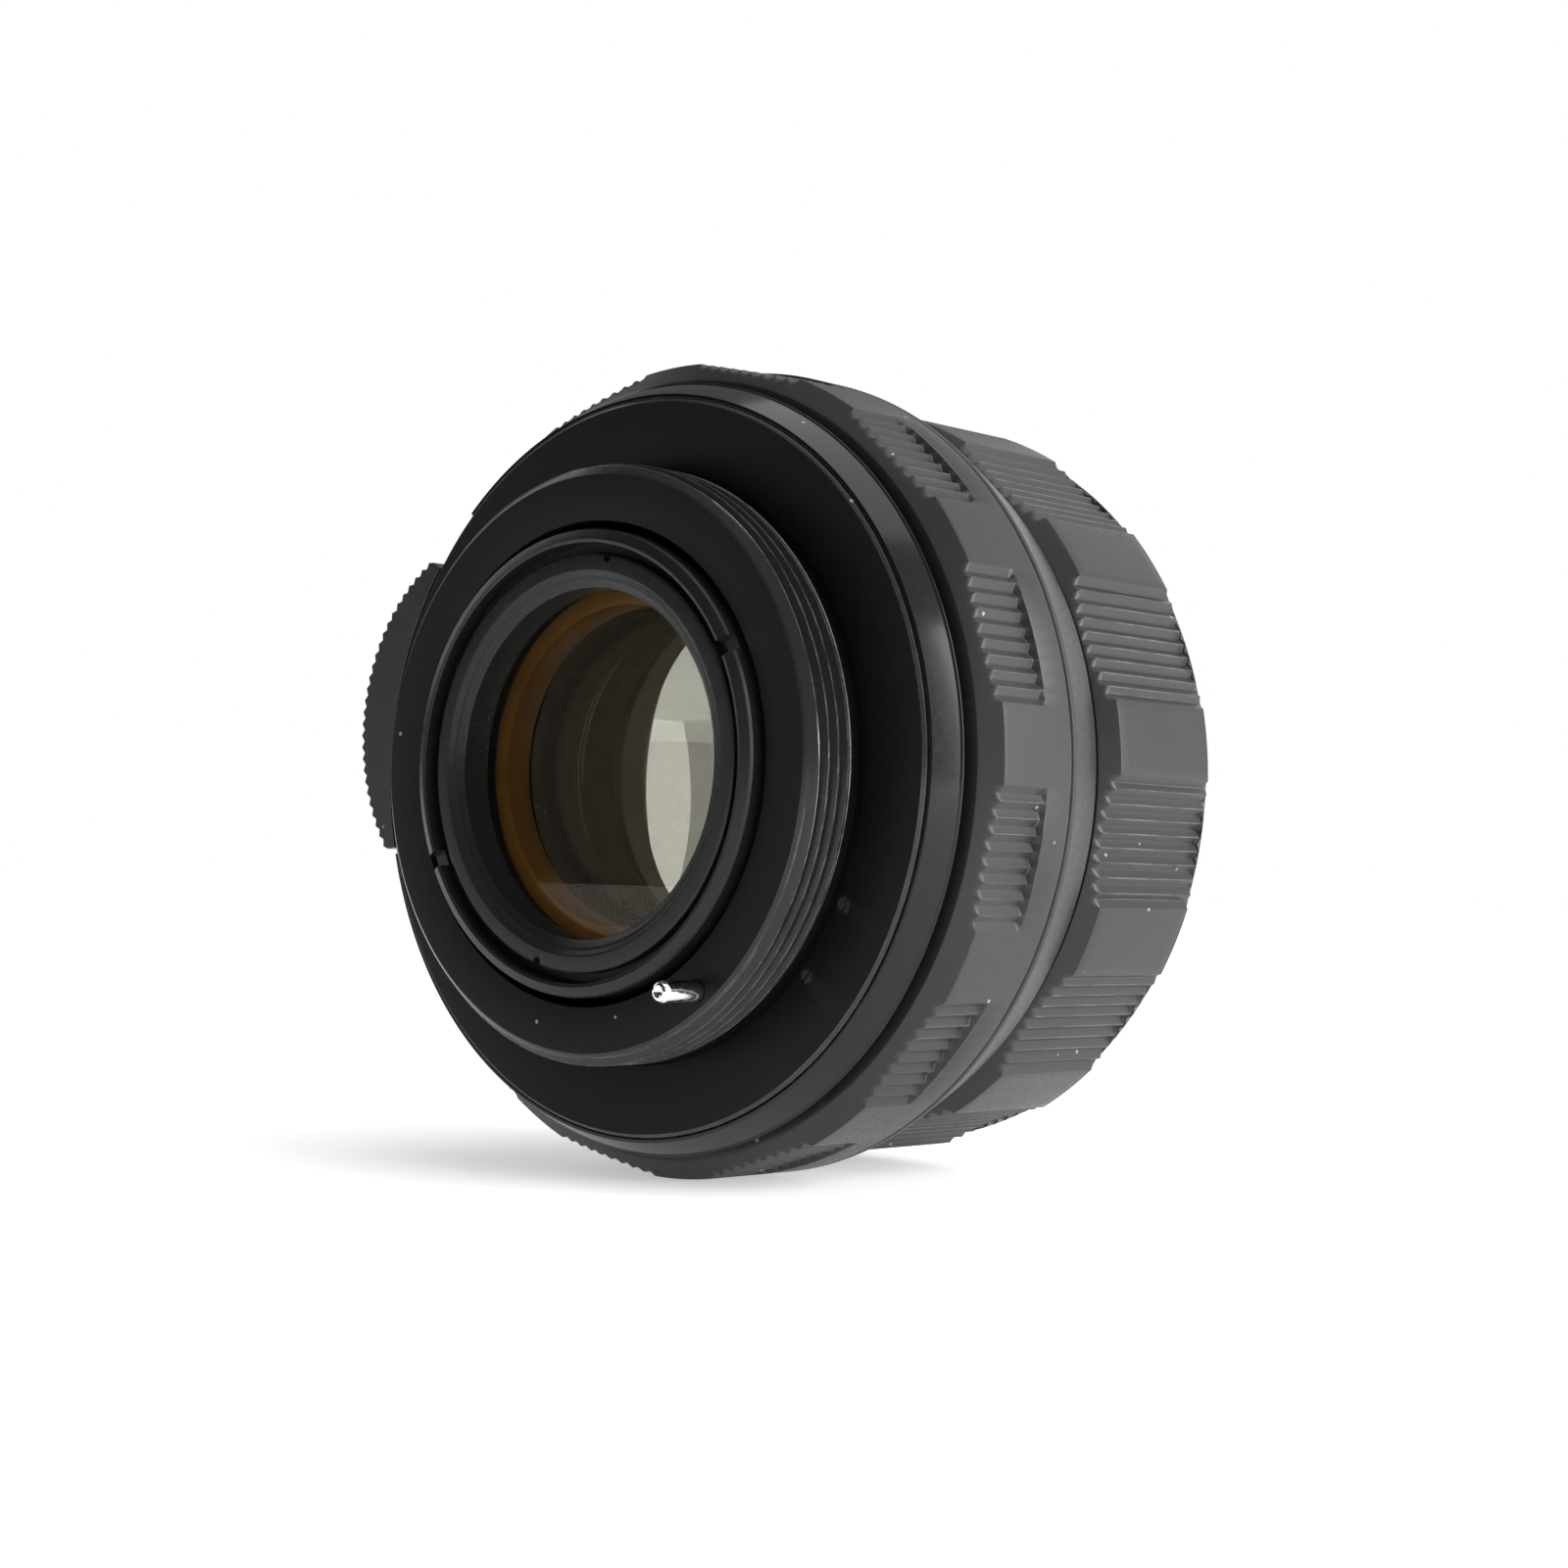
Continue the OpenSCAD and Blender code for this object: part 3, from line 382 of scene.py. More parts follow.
EDGE = black_metal("worn_edge_black", (0.010, 0.010, 0.010), 0.25, coat=0.2, wear=1.0, wear_radius=0.0002,
                   grainy=0.2, bare_from=0.44)
TUBE = black_metal("tube_black", (0.010, 0.010, 0.011), 0.33, wear=0.6, dusting=0.05, shine=0.3)
BAFFLE = black_metal("baffle_black", (0.022, 0.015, 0.009), 0.55, wear=0.0, dusting=0.0, shine=0.2)
BRASS = bare_metal("turned_brass", (0.62, 0.46, 0.22), 0.34)
STEEL = bare_metal("bare_steel", (0.46, 0.46, 0.47), 0.34)
BLADE = bare_metal("blued_blade", (0.10, 0.10, 0.115), 0.38)
# Painted light: a bright brown on the rear cell's inner wall that stands in for the amber glow seen through
# the rear glass, not the wall's own colour.
PAINTED_AMBER_GLOW = black_metal("cell_wall_painted_amber_glow", (0.38, 0.19, 0.055), 0.35, wear=0.0, dusting=0.0)
CHROME = bare_metal("chrome", (0.86, 0.86, 0.88), 0.10, 0.15)
AMBER = glass("amber_glass", (0.62, 0.59, 0.48), 1.7, 1.0)
AMBER_PAIR = glass("amber_pair_glass", (0.66, 0.63, 0.54), 1.8, 1.0)
INK = paint_fill("white_fill", (0.78, 0.76, 0.70))
RED_INK = paint_fill("red_fill", (0.70, 0.10, 0.04))
CLEAR = glass("clear_glass", (0.80, 0.82, 0.87), 1.78, 0.4)
CLEAR_THIRD = glass("clear_third_glass", (0.80, 0.82, 0.87), 1.8, 1.0)

for slot, material in {
    "black_anodised": SATIN, "grip_black": GRIP, "mount_black": MATT, "helicoid_brass": BRASS,
    "chrome": CHROME, "bare_steel": STEEL, "blade_steel": BLADE, "clear_glass": CLEAR,
    "amber_glass": AMBER,
}.items():
    for row in frame["record"]["subparts"]:
        if row["material_slot"] == slot:
            mesh = nodes[row["node"]].data
            mesh.materials.clear()
            mesh.materials.append(material)

for inner in ("iris_housing", "iris_cover", "front_cell", "front_spacer", "pair_retaining_ring"):
    nodes[inner].data.materials.clear()
    nodes[inner].data.materials.append(BAFFLE)


# ---------------------------------------------------------------- camera, light, floor

def add_camera():
    data = bpy.data.cameras.new("camera")
    data.lens = 65.53
    data.sensor_width = 36.0
    camera = bpy.data.objects.new("camera", data)
    bpy.context.scene.collection.objects.link(camera)
    right = Vector((0.752, 0.658, 0.028)).normalized()
    forward = Vector((-0.659, 0.7515, 0.032)).normalized()
    up = right.cross(forward).normalized()
    right = forward.cross(up)
    camera.matrix_world = Matrix.Translation((0.14117, -0.14493, -0.0074)) @ Matrix((
        (right.x, up.x, -forward.x), (right.y, up.y, -forward.y), (right.z, up.z, -forward.z))).to_4x4()
    data.clip_start = 0.001
    data.clip_end = 50
    bpy.context.scene.camera = camera


def add_floor():
    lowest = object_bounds()[0].z
    size = 3.0
    s = Shader("floor_paper")
    grain = s.noise(900.0, 3.0)
    length = s.add("ShaderNodeVectorMath")
    length.operation = "LENGTH"
    s.feed(length.inputs[0], s.place)
    s.set(Base_Color=s.mix(grain, rgb(0.93, 0.93, 0.93), rgb(0.96, 0.96, 0.96)), Roughness=0.6,
          Normal=s.bump(grain, mm(0.01), 0.1), Emission_Color=rgb(1, 1, 1),
          Emission_Strength=s.ramp(length.outputs["Value"], 0.05, 0.5, 0.45, 1.0))
    floor = add_mesh("floor", [], [])
    floor.data.from_pydata([(-size, -size, lowest), (size, -size, lowest), (size, size, lowest),
                            (-size, size, lowest)], [], [(0, 1, 2, 3)])
    floor.data.materials.append(s.material)


def add_light(name, place, aim, size, power, color=(1, 1, 1)):
    data = bpy.data.lights.new(name, "AREA")
    data.shape = "RECTANGLE"
    data.size, data.size_y = size
    data.energy = power
    data.color = color
    light = bpy.data.objects.new(name, data)
    light.location = place
    light.rotation_euler = (Vector(aim) - Vector(place)).to_track_quat("-Z", "Y").to_euler()
    bpy.context.scene.collection.objects.link(light)


def add_world():
    """White for what looks at it directly, a soft studio gradient for what it lights."""
    world = bpy.data.worlds.new("studio")
    bpy.context.scene.world = world
    world.use_nodes = True
    tree = world.node_tree
    tree.nodes.clear()

    def add(kind):
        return tree.nodes.new(kind)

    out, seen, lit, mix, path, either = (add(kind) for kind in (
        "ShaderNodeOutputWorld", "ShaderNodeBackground", "ShaderNodeBackground", "ShaderNodeMixShader",
        "ShaderNodeLightPath", "ShaderNodeMath"))
    seen.inputs[0].default_value = rgb(1, 1, 1)
    seen.inputs[1].default_value = 1.0
    lit.inputs[0].default_value = rgb(0.98, 0.99, 1)
    place, turn, spread = add("ShaderNodeTexCoord"), add("ShaderNodeVectorMath"), add("ShaderNodeMapRange")
    turn.operation = "DOT_PRODUCT"
    turn.inputs[1].default_value = Vector((0.72, 0.45, 0.45)).normalized()
    tree.links.new(place.outputs["Generated"], turn.inputs[0])
    tree.links.new(turn.outputs["Value"], spread.inputs["Value"])
    for key, value in {"From Min": -0.3, "From Max": 0.9, "To Min": 0.02, "To Max": 0.8}.items():
        spread.inputs[key].default_value = value
    tree.links.new(spread.outputs["Result"], lit.inputs[1])
    either.operation = "MAXIMUM"
    tree.links.new(path.outputs["Is Camera Ray"], either.inputs[0])
    tree.links.new(path.outputs["Is Transmission Ray"], either.inputs[1])
    tree.links.new(either.outputs[0], mix.inputs[0])
    tree.links.new(lit.outputs[0], mix.inputs[1])
    tree.links.new(seen.outputs[0], mix.inputs[2])
    tree.links.new(mix.outputs[0], out.inputs["Surface"])
    bpy.context.scene.view_settings.view_transform = "Standard"


def add_lights():
    middle = (0, 0.015, 0)
    add_light("key_right_rear", (0.62, 0.22, 0.12), middle, (0.55, 0.7), 9.5, (1.0, 0.99, 0.96))
    add_light("top", (0.05, 0.12, 0.75), middle, (0.8, 0.5), 2.0)
    add_light("left", (-0.7, -0.05, 0.35), middle, (0.5, 0.5), 0.8)
    add_light("front", (-0.15, 0.9, 0.25), middle, (0.6, 0.6), 1.5)


# ---------------------------------------------------------------- sizes that repeat the CAD's

BODY = radius_of("aperture_ring")
FOCUS = radius_of("focus_ring")
APERTURE_REAR, APERTURE_FRONT = rear_of("aperture_ring"), front_of("aperture_ring")
MOUNT_REAR = rear_of("rear_mount")
FLANGE = radius_of("rear_mount")
LIP = radius_of("base_barrel")
BEZEL = radius_of("front_bezel")
BEZEL_END = front_of("front_bezel")
THREAD, THREAD_PITCH = 21.0, 1.0
FILTER, FILTER_PITCH = 23.0, 0.75
SCREW_CIRCLE = THREAD + 0.14 * (FLANGE - THREAD)
SWITCH_MIDDLE, SWITCH_HALF, SWITCH_TRAVEL = 169.0, 24.4, 10.0
PIN_PLACE = (-53.5, 19.0)       # angle in degrees, distance from the axis
SLEEVE, SLEEVE_BORE = 26.4, 25.25
APERTURE_KNURL = 5.95           # length of the aperture ring's knurled part, with its bevel
SCALE_FALL = 1.8                # how much the depth-scale cone narrows
INDEX_ANGLE = math.radians(126.5)
SCALLOPS, GROOVES, LAND = 12, 9, math.radians(10.6)

# each glass: rim radius, place and curve of its rear face, place and curve of its front face
REAR_GLASS = (12.85, -4.3, 42, 0.7, 120)
PAIR_GLASS = (12.0, 1.1, 38, 8.9, -20)
THIRD_GLASS = (13.5, 20.5, -19, 22.3, 60)
SECOND_GLASS = (14.5, 23.0, -45, 27.2, 25)
FRONT_GLASS = (16.6, 27.6, -200, 32.6, 36)


def sag(curve, r):
    return curve - math.sqrt(curve * curve - r * r)


def ramp_share(value, low, high):
    return min(1.0, max(0.0, (value - low) / (high - low)))


# ---------------------------------------------------------------- mount and fixed barrel

def thread_height(y, t, pitch):
    """0 at the root of a right-handed thread and 1 at its crest."""
    phase = (y / pitch + t / TURN) % 1.0
    away = abs(phase - 0.5) * 2
    return 1 - ramp_share(away, 0.13, 0.80)


def rear_mount():
    node = "rear_mount"
    rear = MOUNT_REAR
    thread_start, thread_end, root = rear + 0.74, -1.3, 0.58
    hole, bore = bore_of(node), 17.7
    rows = 120

    def shape(r, y, t):
        if not (rear < y < thread_end + 0.05) or r < THREAD - 1:
            return r
        inward = root * (1 - thread_height(y, t, THREAD_PITCH))
        fade = ramp_share(thread_end - y, 0.0, 0.25)
        return min(r, THREAD - inward * fade)

    outline = [(rear, hole, 0.06), (rear, THREAD - 0.85, 0.05)]
    outline += [(rear + 0.74 * k / 8, THREAD - 0.8 + 0.8 * k / 8, 0) for k in range(1, 8)]
    outline += [(thread_start + (thread_end - thread_start) * k / rows, THREAD, 0) for k in range(rows + 1)]
    outline += [(thread_end + 0.02, THREAD - 0.8, 0.0), (0.3, THREAD - 0.8, 0.05), (0.3, THREAD + 0.05, 0.05),
                (0, THREAD + 0.08, 0.03), (0, FLANGE - 0.22, 0.05),
                (0.22, FLANGE, 0.05), (1.6, FLANGE, 0.0), (1.6, bore, 0.0), (rear + 1.1, bore, 0.1),
                (rear + 1.1, hole, 0.06)]
    mount = lathe("rear_mount_threaded", outline, radius_at=shape)
    cut(mount, rod("pin_hole_cutter", PIN_PLACE, rear - 1, 3, 0.80, 40))
    for angle in (-25.2, -40.6):
        cut(mount, rod("screw_hole_cutter", (angle, SCREW_CIRCLE), -1, 3, 0.55, 24))
    install(mount, "lens_base", "mount_black", [MATT, THREADS, EDGE], node)
    for face in mount.data.polygons:
        y, r = face.center.y * 1000, math.hypot(face.center.x, face.center.z) * 1000
        if r > THREAD - 0.9 and rear + 0.04 < y < thread_end + 0.1:
            face.material_index = 1
        elif r > FLANGE - 0.3 or (y < rear + 0.1 and r > THREAD - 0.95):
            face.material_index = 2


def rod(name, where, y0, y1, r, around=32):
    """A plain round cutter along the axis, at (angle in degrees, distance from the axis)."""
    t, far = math.radians(where[0]), where[1]
    centre = (far * math.cos(t), far * math.sin(t))
    points = [(centre[0] + r * math.cos(TURN * i / around), y, centre[1] + r * math.sin(TURN * i / around))
              for y in (y0, y1) for i in range(around)]
    faces = [tuple(range(around)), tuple(range(2 * around - 1, around - 1, -1))]
    faces += [(i, around + i, around + (i + 1) % around, (i + 1) % around) for i in range(around)]
    return flip_if_inside_out(add_mesh(name, points, faces))


def block(name, angle, r0, r1, y0, y1, width):
    """A plain box cutter, r0 to r1 outwards at an angle in degrees."""
    t = math.radians(angle)
    out, side = Vector((math.cos(t), 0, math.sin(t))), Vector((-math.sin(t), 0, math.cos(t)))
    corners = [(r0, -width / 2), (r1, -width / 2), (r1, width / 2), (r0, width / 2)]
    points = [out * r + side * w + Vector((0, y, 0)) for y in (y0, y1) for r, w in corners]
    faces = [(0, 1, 2, 3), (7, 6, 5, 4), (0, 4, 5, 1), (1, 5, 6, 2), (2, 6, 7, 3), (3, 7, 4, 0)]
    return flip_if_inside_out(add_mesh(name, [tuple(p) for p in points], faces))


def cut(piece, cutter):
    """Takes the cutter's volume out of the piece and deletes the cutter."""
    flip_if_inside_out(piece)
    modifier = piece.modifiers.new("cut", "BOOLEAN")
    modifier.operation = "DIFFERENCE"
    modifier.solver = "EXACT"
    modifier.object = cutter
    bpy.context.view_layer.update()
    made = bpy.data.meshes.new_from_object(piece.evaluated_get(bpy.context.evaluated_depsgraph_get()))
    piece.modifiers.clear()
    piece.data = made
    bpy.data.objects.remove(cutter)
    made.set_sharp_from_angle(angle=math.radians(32))


def base_barrel():
    node = "base_barrel"
    rear = rear_of(node)
    lip_y, roof = 2.35, 2.2
    slot_middle = math.radians(SWITCH_MIDDLE - SWITCH_TRAVEL / 2)
    slot_half = math.radians(SWITCH_HALF + SWITCH_TRAVEL / 2 + 1)

    def in_slot(t):
        return abs((t - slot_middle + math.pi) % TURN - math.pi) < slot_half

    def lift(y, t):
        return max(y, roof) if in_slot(t) else y

    bead = [(rear, FLANGE + 0.06, 0.03), (rear, FLANGE + 0.35, 0.06), (lip_y - 0.18, LIP - 0.16, 0.08),
            (lip_y - 0.08, LIP, 0.05), (lip_y + 0.02, LIP, 0.05), (lip_y + 0.35, LIP - 0.4, 0.05),
            (lip_y + 0.35, 26.5, 0.0), (roof + 0.02, 26.3, 0.0)]
    angles = sorted([TURN * i / AROUND for i in range(AROUND)]
                    + [(slot_middle + side * (slot_half + nudge)) % TURN
                       for side in (-1, 1) for nudge in (-0.0002, 0.0002)])
    lip = lathe("base_barrel_lip", bead, angles, height_at=lift)
    install(lip, "lens_base", "mount_black", GLOSS)
    front, web_bore, web_end = front_of(node), 23.0, 3.2
    sleeve = lathe("base_barrel_sleeve", [
        (roof, web_bore, 0.05), (roof, SLEEVE - 0.15, 0.0), (web_end, SLEEVE + 0.3, 0.05),
        (web_end + 0.02, SLEEVE, 0.0), (front, SLEEVE, 0.1), (front, SLEEVE_BORE, 0.05),
        (web_end + 0.05, SLEEVE_BORE, 0.0), (web_end, web_bore, 0.05)])
    install(sleeve, "lens_base", "mount_black", MATT, node)
    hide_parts(node)


def switch():
    node = "auto_manual_switch"
    rear, front = rear_of(node), front_of(node)
    edge_r, teeth = 15.0, 28
    centre = FLANGE + 3.95 - edge_r
    half = math.radians(SWITCH_HALF)
    span = math.asin((FLANGE + 1.35) * math.sin(half) / edge_r)
    middle = math.radians(SWITCH_MIDDLE)
    outline = []
    for i in range(13):
        t = half - 2 * half * i / 12
        outline.append(((FLANGE + 0.12) * math.cos(t), (FLANGE + 0.12) * math.sin(t)))
    for i in range(2 * teeth + 1):
        t = -span + span * i / teeth
        r = edge_r - (0.30 if i % 2 == 0 else 0.0)
        outline.append((centre + r * math.cos(t), r * math.sin(t)))
    n = len(outline)
    across, up = math.cos(middle), math.sin(middle)
    turned_points = [(x * across - z * up, x * up + z * across) for x, z in outline]
    points = [(x, y, z) for y in (rear, front) for x, z in turned_points]
    faces = [tuple(range(n)), tuple(range(2 * n - 1, n - 1, -1))]
    faces += [(i, n + i, n + (i + 1) % n, (i + 1) % n) for i in range(n)]
    tab = flip_if_inside_out(add_mesh("auto_manual_switch_tab", points, faces, 25))
    bevel = tab.modifiers.new("soft_edges", "BEVEL")
    bevel.width = mm(0.06)
    bevel.segments = 2
    bevel.limit_method = "ANGLE"
    bevel.angle_limit = math.radians(30)
    install(tab, "switch", "grip_black", GRIP, node)


def moved_lathe(name, where, outline, around=48):
    """A turned piece whose axis stands parallel to the optical axis, at (angle, distance)."""
    piece = lathe(name, outline, [TURN * i / around for i in range(around)])
    t = math.radians(where[0])
    piece.data.transform(Matrix.Translation((mm(where[1] * math.cos(t)), 0, mm(where[1] * math.sin(t)))))
    return piece


def stop_pin():
    node = "stop_down_pin"
    tip, head = rear_of(node), front_of(node)
    pin = moved_lathe("stop_down_pin_turned", PIN_PLACE, [
        (tip + 0.16, 0.0, 0.0), (tip + 0.13, 0.22, 0.05), (tip, 0.42, 0.08), (tip + 0.10, 0.62, 0.1),
        (tip + 0.42, 0.75, 0.15), (MOUNT_REAR + 1.15, 0.75, 0.0), (MOUNT_REAR + 1.15, 0.95, 0.03),
        (head, 0.95, 0.03), (head, 0.0, 0.0)])
    install(pin, "stop_pin", "chrome", CHROME, node)


def depth_scale_ring():
    node = "depth_scale_ring"
    rear, front, bore = rear_of(node), front_of(node), bore_of(node)
    ring = lathe("depth_scale_ring_turned", [
        (rear, bore, 0.05), (rear, BODY - 0.10, 0.05), (rear + 0.10, BODY, 0.05), (rear + 0.45, BODY, 0.2),
        (front - 0.16, BODY - SCALE_FALL, 0.08), (front, BODY - SCALE_FALL - 0.16, 0.05),
        (front, bore, 0.05)])
    install(ring, "lens_base", "black_anodised", SATIN, node)


# ---------------------------------------------------------------- grip rings

def knurl_angles(first_land, crest=0.06, valley=0.05):
    """Angles for a knurled ring: land samples, then crest, flank and valley of each groove."""
    angles = []
    pitch = TURN / SCALLOPS
    land_steps = 8
    for i in range(SCALLOPS):
        middle = first_land + i * pitch
        angles += [middle - LAND / 2 + LAND * k / land_steps for k in range(land_steps + 1)]
        start = middle + LAND / 2
        step = (pitch - LAND) / GROOVES
        for g in range(GROOVES):
            shares = [crest / 2, crest, 0.5 - valley, 0.5, 0.5 + valley, 1 - crest, 1 - crest / 2]
            if g < GROOVES - 1:
                shares.append(1.0)
            angles += [start + g * step + step * share for share in shares]
    return angles


def knurl_radius(land_r, first_land, depth, groove, y_from, y_to, run_out):
    """The radius that the scallops and grooves leave at an angle, between two stations."""
    pitch = TURN / SCALLOPS
    half = (pitch - LAND) / 2

    def radius_at(r, y, t):
        if not y_from <= y <= y_to or r < land_r - 2.2:
            return r
        offset = (t - first_land - pitch / 2) % pitch
        offset = offset if offset < pitch / 2 else offset - pitch
        if abs(offset) >= half - 1e-6:
            return r
        fade = ramp_share(y_to - y, 0.0, run_out)
        tip = land_r - fade * depth * (1 - (offset / half) ** 2)
        tooth = abs(((offset + half) / (2 * half) * GROOVES) % 1.0 - 0.5) * 2
        rounded_tooth = min(max(tooth, 0.08), 0.94)
        return min(r, tip - fade * groove * (0.94 - rounded_tooth) * 1.1)

    return radius_at


def grip(name, node, body, outline, first_land, depth, groove, y_from, y_to, run_out=0.01):
    first = math.radians(first_land)
    shape = knurl_radius(radius_of(node), first, depth, groove, y_from, y_to, run_out)
    ring = lathe(name, outline, knurl_angles(first), shape)
    install(ring, body, "grip_black", GRIP, node)


def aperture_ring():
    node = "aperture_ring"
    rear, front, bore = APERTURE_REAR, APERTURE_FRONT, bore_of(node)
    bevel, bevel_in = 1.13, 1.4
    knurl_end, bevel_end = rear + APERTURE_KNURL, rear + bevel
    outline = [(rear, bore, 0.05), (rear, BODY - bevel_in, 0.12)]
    outline += [(rear + bevel * k / 6, BODY - bevel_in + bevel_in * k / 6, 0) for k in range(1, 6)]
    outline += [(bevel_end, BODY, 0.08)]
    outline += [(bevel_end + (knurl_end - bevel_end - 0.5) * k / 8, BODY, 0) for k in range(1, 9)]
    outline += [(knurl_end - 0.5 + 0.1 * k, BODY, 0) for k in range(1, 5)]
    outline += [(knurl_end - 0.01, BODY, 0), (knurl_end + 0.04, BODY, 0), (front - 0.12, BODY, 0),
                (front, BODY - 0.12, 0.05), (front, bore, 0.05)]
    grip("aperture_ring_knurled", node, "aperture_unit", outline, 3.2, 0.4, 0.3, rear + 0.01, knurl_end, 0.3)


def focus_ring():
    node = "focus_ring"
    rear, front = rear_of(node), front_of(node)
    bore, bezel_hole = FOCUS - 1.8, BEZEL + 0.3
    bevel, bevel_in, chamfer = 1.1, 1.2, 0.6
    outline = [(rear, bore, 0.05), (rear, FOCUS - bevel_in, 0.12)]
    outline += [(rear + bevel * k / 6, FOCUS - bevel_in + bevel_in * k / 6, 0) for k in range(1, 6)]
    outline += [(rear + bevel, FOCUS, 0.08)]
    outline += [(rear + bevel + (front - rear - bevel - chamfer) * k / 10, FOCUS, 0) for k in range(1, 10)]
    outline += [(front - chamfer, FOCUS, 0.08)]
    outline += [(front - chamfer + chamfer * k / 4, FOCUS - chamfer * k / 4, 0) for k in range(1, 4)]
    outline += [(front, FOCUS - chamfer, 0.06), (front, bezel_hole, 0.06), (front - 1.5, bezel_hole, 0.05),
                (front - 2, bore, 0.0)]
    grip("focus_ring_knurled", node, "focus_unit", outline, 5.9, 0.75, 0.35, rear + 0.01, front - 0.01)


# ---------------------------------------------------------------- front of the lens

def front_bezel():
    node = "front_bezel"
    rear, shoulder = rear_of(node), front_of("focus_ring") + 0.1
    end, filter_y, web_front = BEZEL_END, BEZEL_END - 3.1, BEZEL_END - 4.1
    front_r, seat_r, barrel_seat, skirt_in = FILTER + 1, FILTER - 0.5, 22.75, BEZEL - 0.9
    web_rear, thread_depth, rows = web_front - 2.2, 0.40, 90

    def shape(r, y, t):
        if not (filter_y + 0.3 < y < end - 0.3) or not FILTER - 0.3 < r < FILTER + 0.2:
            return r
        fade = min(ramp_share(y, filter_y + 0.3, filter_y + 0.6), ramp_share(end - 0.3 - y, 0.0, 0.15))
        return FILTER - thread_depth * fade * thread_height(-y, t, FILTER_PITCH)

    outline = [(rear, skirt_in, 0.05), (rear, BEZEL, 0.08), (shoulder, BEZEL, 0.05),
               (shoulder + 0.6, front_r, 0.05), (end - 0.3, front_r, 0.12), (end, front_r - 0.3, 0.10),
               (end, FILTER + 0.25, 0.08), (end - 0.25, FILTER, 0.0)]
    outline += [(end - 0.3 - (end - 0.6 - filter_y) * k / rows, FILTER, 0) for k in range(rows + 1)]
    outline += [(filter_y, FILTER, 0.0), (filter_y, seat_r, 0.0), (web_front, seat_r, 0.0),
                (web_front, barrel_seat, 0.0), (web_rear, barrel_seat, 0.0), (web_rear, skirt_in, 0.1)]
    bezel = lathe("front_bezel_threaded", outline, radius_at=shape)
    install(bezel, "optical_block", "black_anodised", SATIN, node)


def name_ring():
    node = "name_ring"
    top = front_of(node)
    inner, out = bore_of(node), radius_of(node)
    foot, foot_r, plate = rear_of(node), 21.5, 0.8
    steps, cone_r, cone_foot = 3, out - 1.5, foot + 0.8
    cone = [(top - 0.15 - (top - 0.15 - cone_foot) * (k + share) / steps,
             cone_r - (cone_r - inner) * (k + (share > 0.3)) / steps, 0.0)
            for k in range(steps) for share in (0.0, 0.35)]
    outline = [(foot, inner, 0.0), (foot, foot_r, 0.0), (top - plate, foot_r, 0.0),
               (top - plate, out, 0.03), (top, out, 0.05), (top, out - 1.2, 0.05)]
    ring = lathe("name_ring_stepped", outline + cone + [(cone_foot, inner, 0.0)])
    install(ring, "optical_block", "black_anodised", MATT, node)


def front_retaining_ring():
    node = "front_retaining_ring"
    rear, front, inner, out = rear_of(node), front_of(node), bore_of(node), radius_of(node)
    ring = lathe("front_retaining_ring_turned", [(rear, inner, 0.05), (rear, out, 0.05), (front, out, 0.05),
                                                 (front, inner + 0.8, 0.06)])
    for angle in (-45, 135):
        cut(ring, block("slot_cutter", angle, out - 1, out + 1, front - 0.7, front + 1, 1.0))
    install(ring, "optical_block", "black_anodised", MATT, node)


# ---------------------------------------------------------------- rear tube and glass

def paint(piece, index, test):
    for face in piece.data.polygons:
        if test(face.center.y * 1000, math.hypot(face.center.x, face.center.z) * 1000):
            face.material_index = index


def rear_tube():
    node = "rear_cell"
    rim = rear_of(node) + 0.05
    tube, tube_bore, ring_seat, nose = 16.3, 15.3, 14.6, 13.2
    front, flange, flange_rear, flange_front, step_y = front_of(node), radius_of(node), 8.5, 10.3, -4.9
    rim_r, rear_y, rear_curve, rear_front_y, rear_front_curve = REAR_GLASS
    pair_r, glass_r, shoulder_r = PAIR_GLASS[0] + 0.05, rim_r + 0.05, 11.4
    pair_seat = PAIR_GLASS[1] + sag(PAIR_GLASS[2], shoulder_r) - 0.02
    glass_seat = rear_front_y - sag(rear_front_curve, shoulder_r) + 0.02
    glass_edge = rear_y + sag(rear_curve, rim_r) - 0.05
    outline = [(rim, tube_bore, 0.04), (rim - 0.05, tube_bore + 0.25, 0.1), (rim + 0.2, tube - 0.12, 0.1),
               (rim + 0.45, tube, 0.08), (flange_rear, tube, 0.0), (flange_rear, flange, 0.05),
               (flange_front, flange, 0.05), (flange_front, nose, 0.0), (front, nose, 0.05),
               (front, pair_r, 0.0), (pair_seat, pair_r, 0.0), (pair_seat, shoulder_r, 0.04),
               (glass_seat, shoulder_r, 0.04), (glass_seat, glass_r, 0.0), (glass_edge, glass_r, 0.0),
               (glass_edge, ring_seat, 0.0), (step_y, ring_seat, 0.0), (step_y, tube_bore, 0.0)]
    cell = lathe("rear_cell_tube", outline)
    for angle in (29.3, 206.5):
        cut(cell, block("slot_cutter", angle, 14.5, 17.2, rim - 1, rim + 0.9, 1.2))
    install(cell, "optical_block", "mount_black", [TUBE, PAINTED_AMBER_GLOW, MATT], node)
    # The inner wall in front of the rear glass's edge gets the painted amber glow.
    paint(cell, 1, lambda y, r: r < 13.0 and y > glass_edge - 0.01)
    paint(cell, 2, lambda y, r: y < -4.5 and r < 15.25)


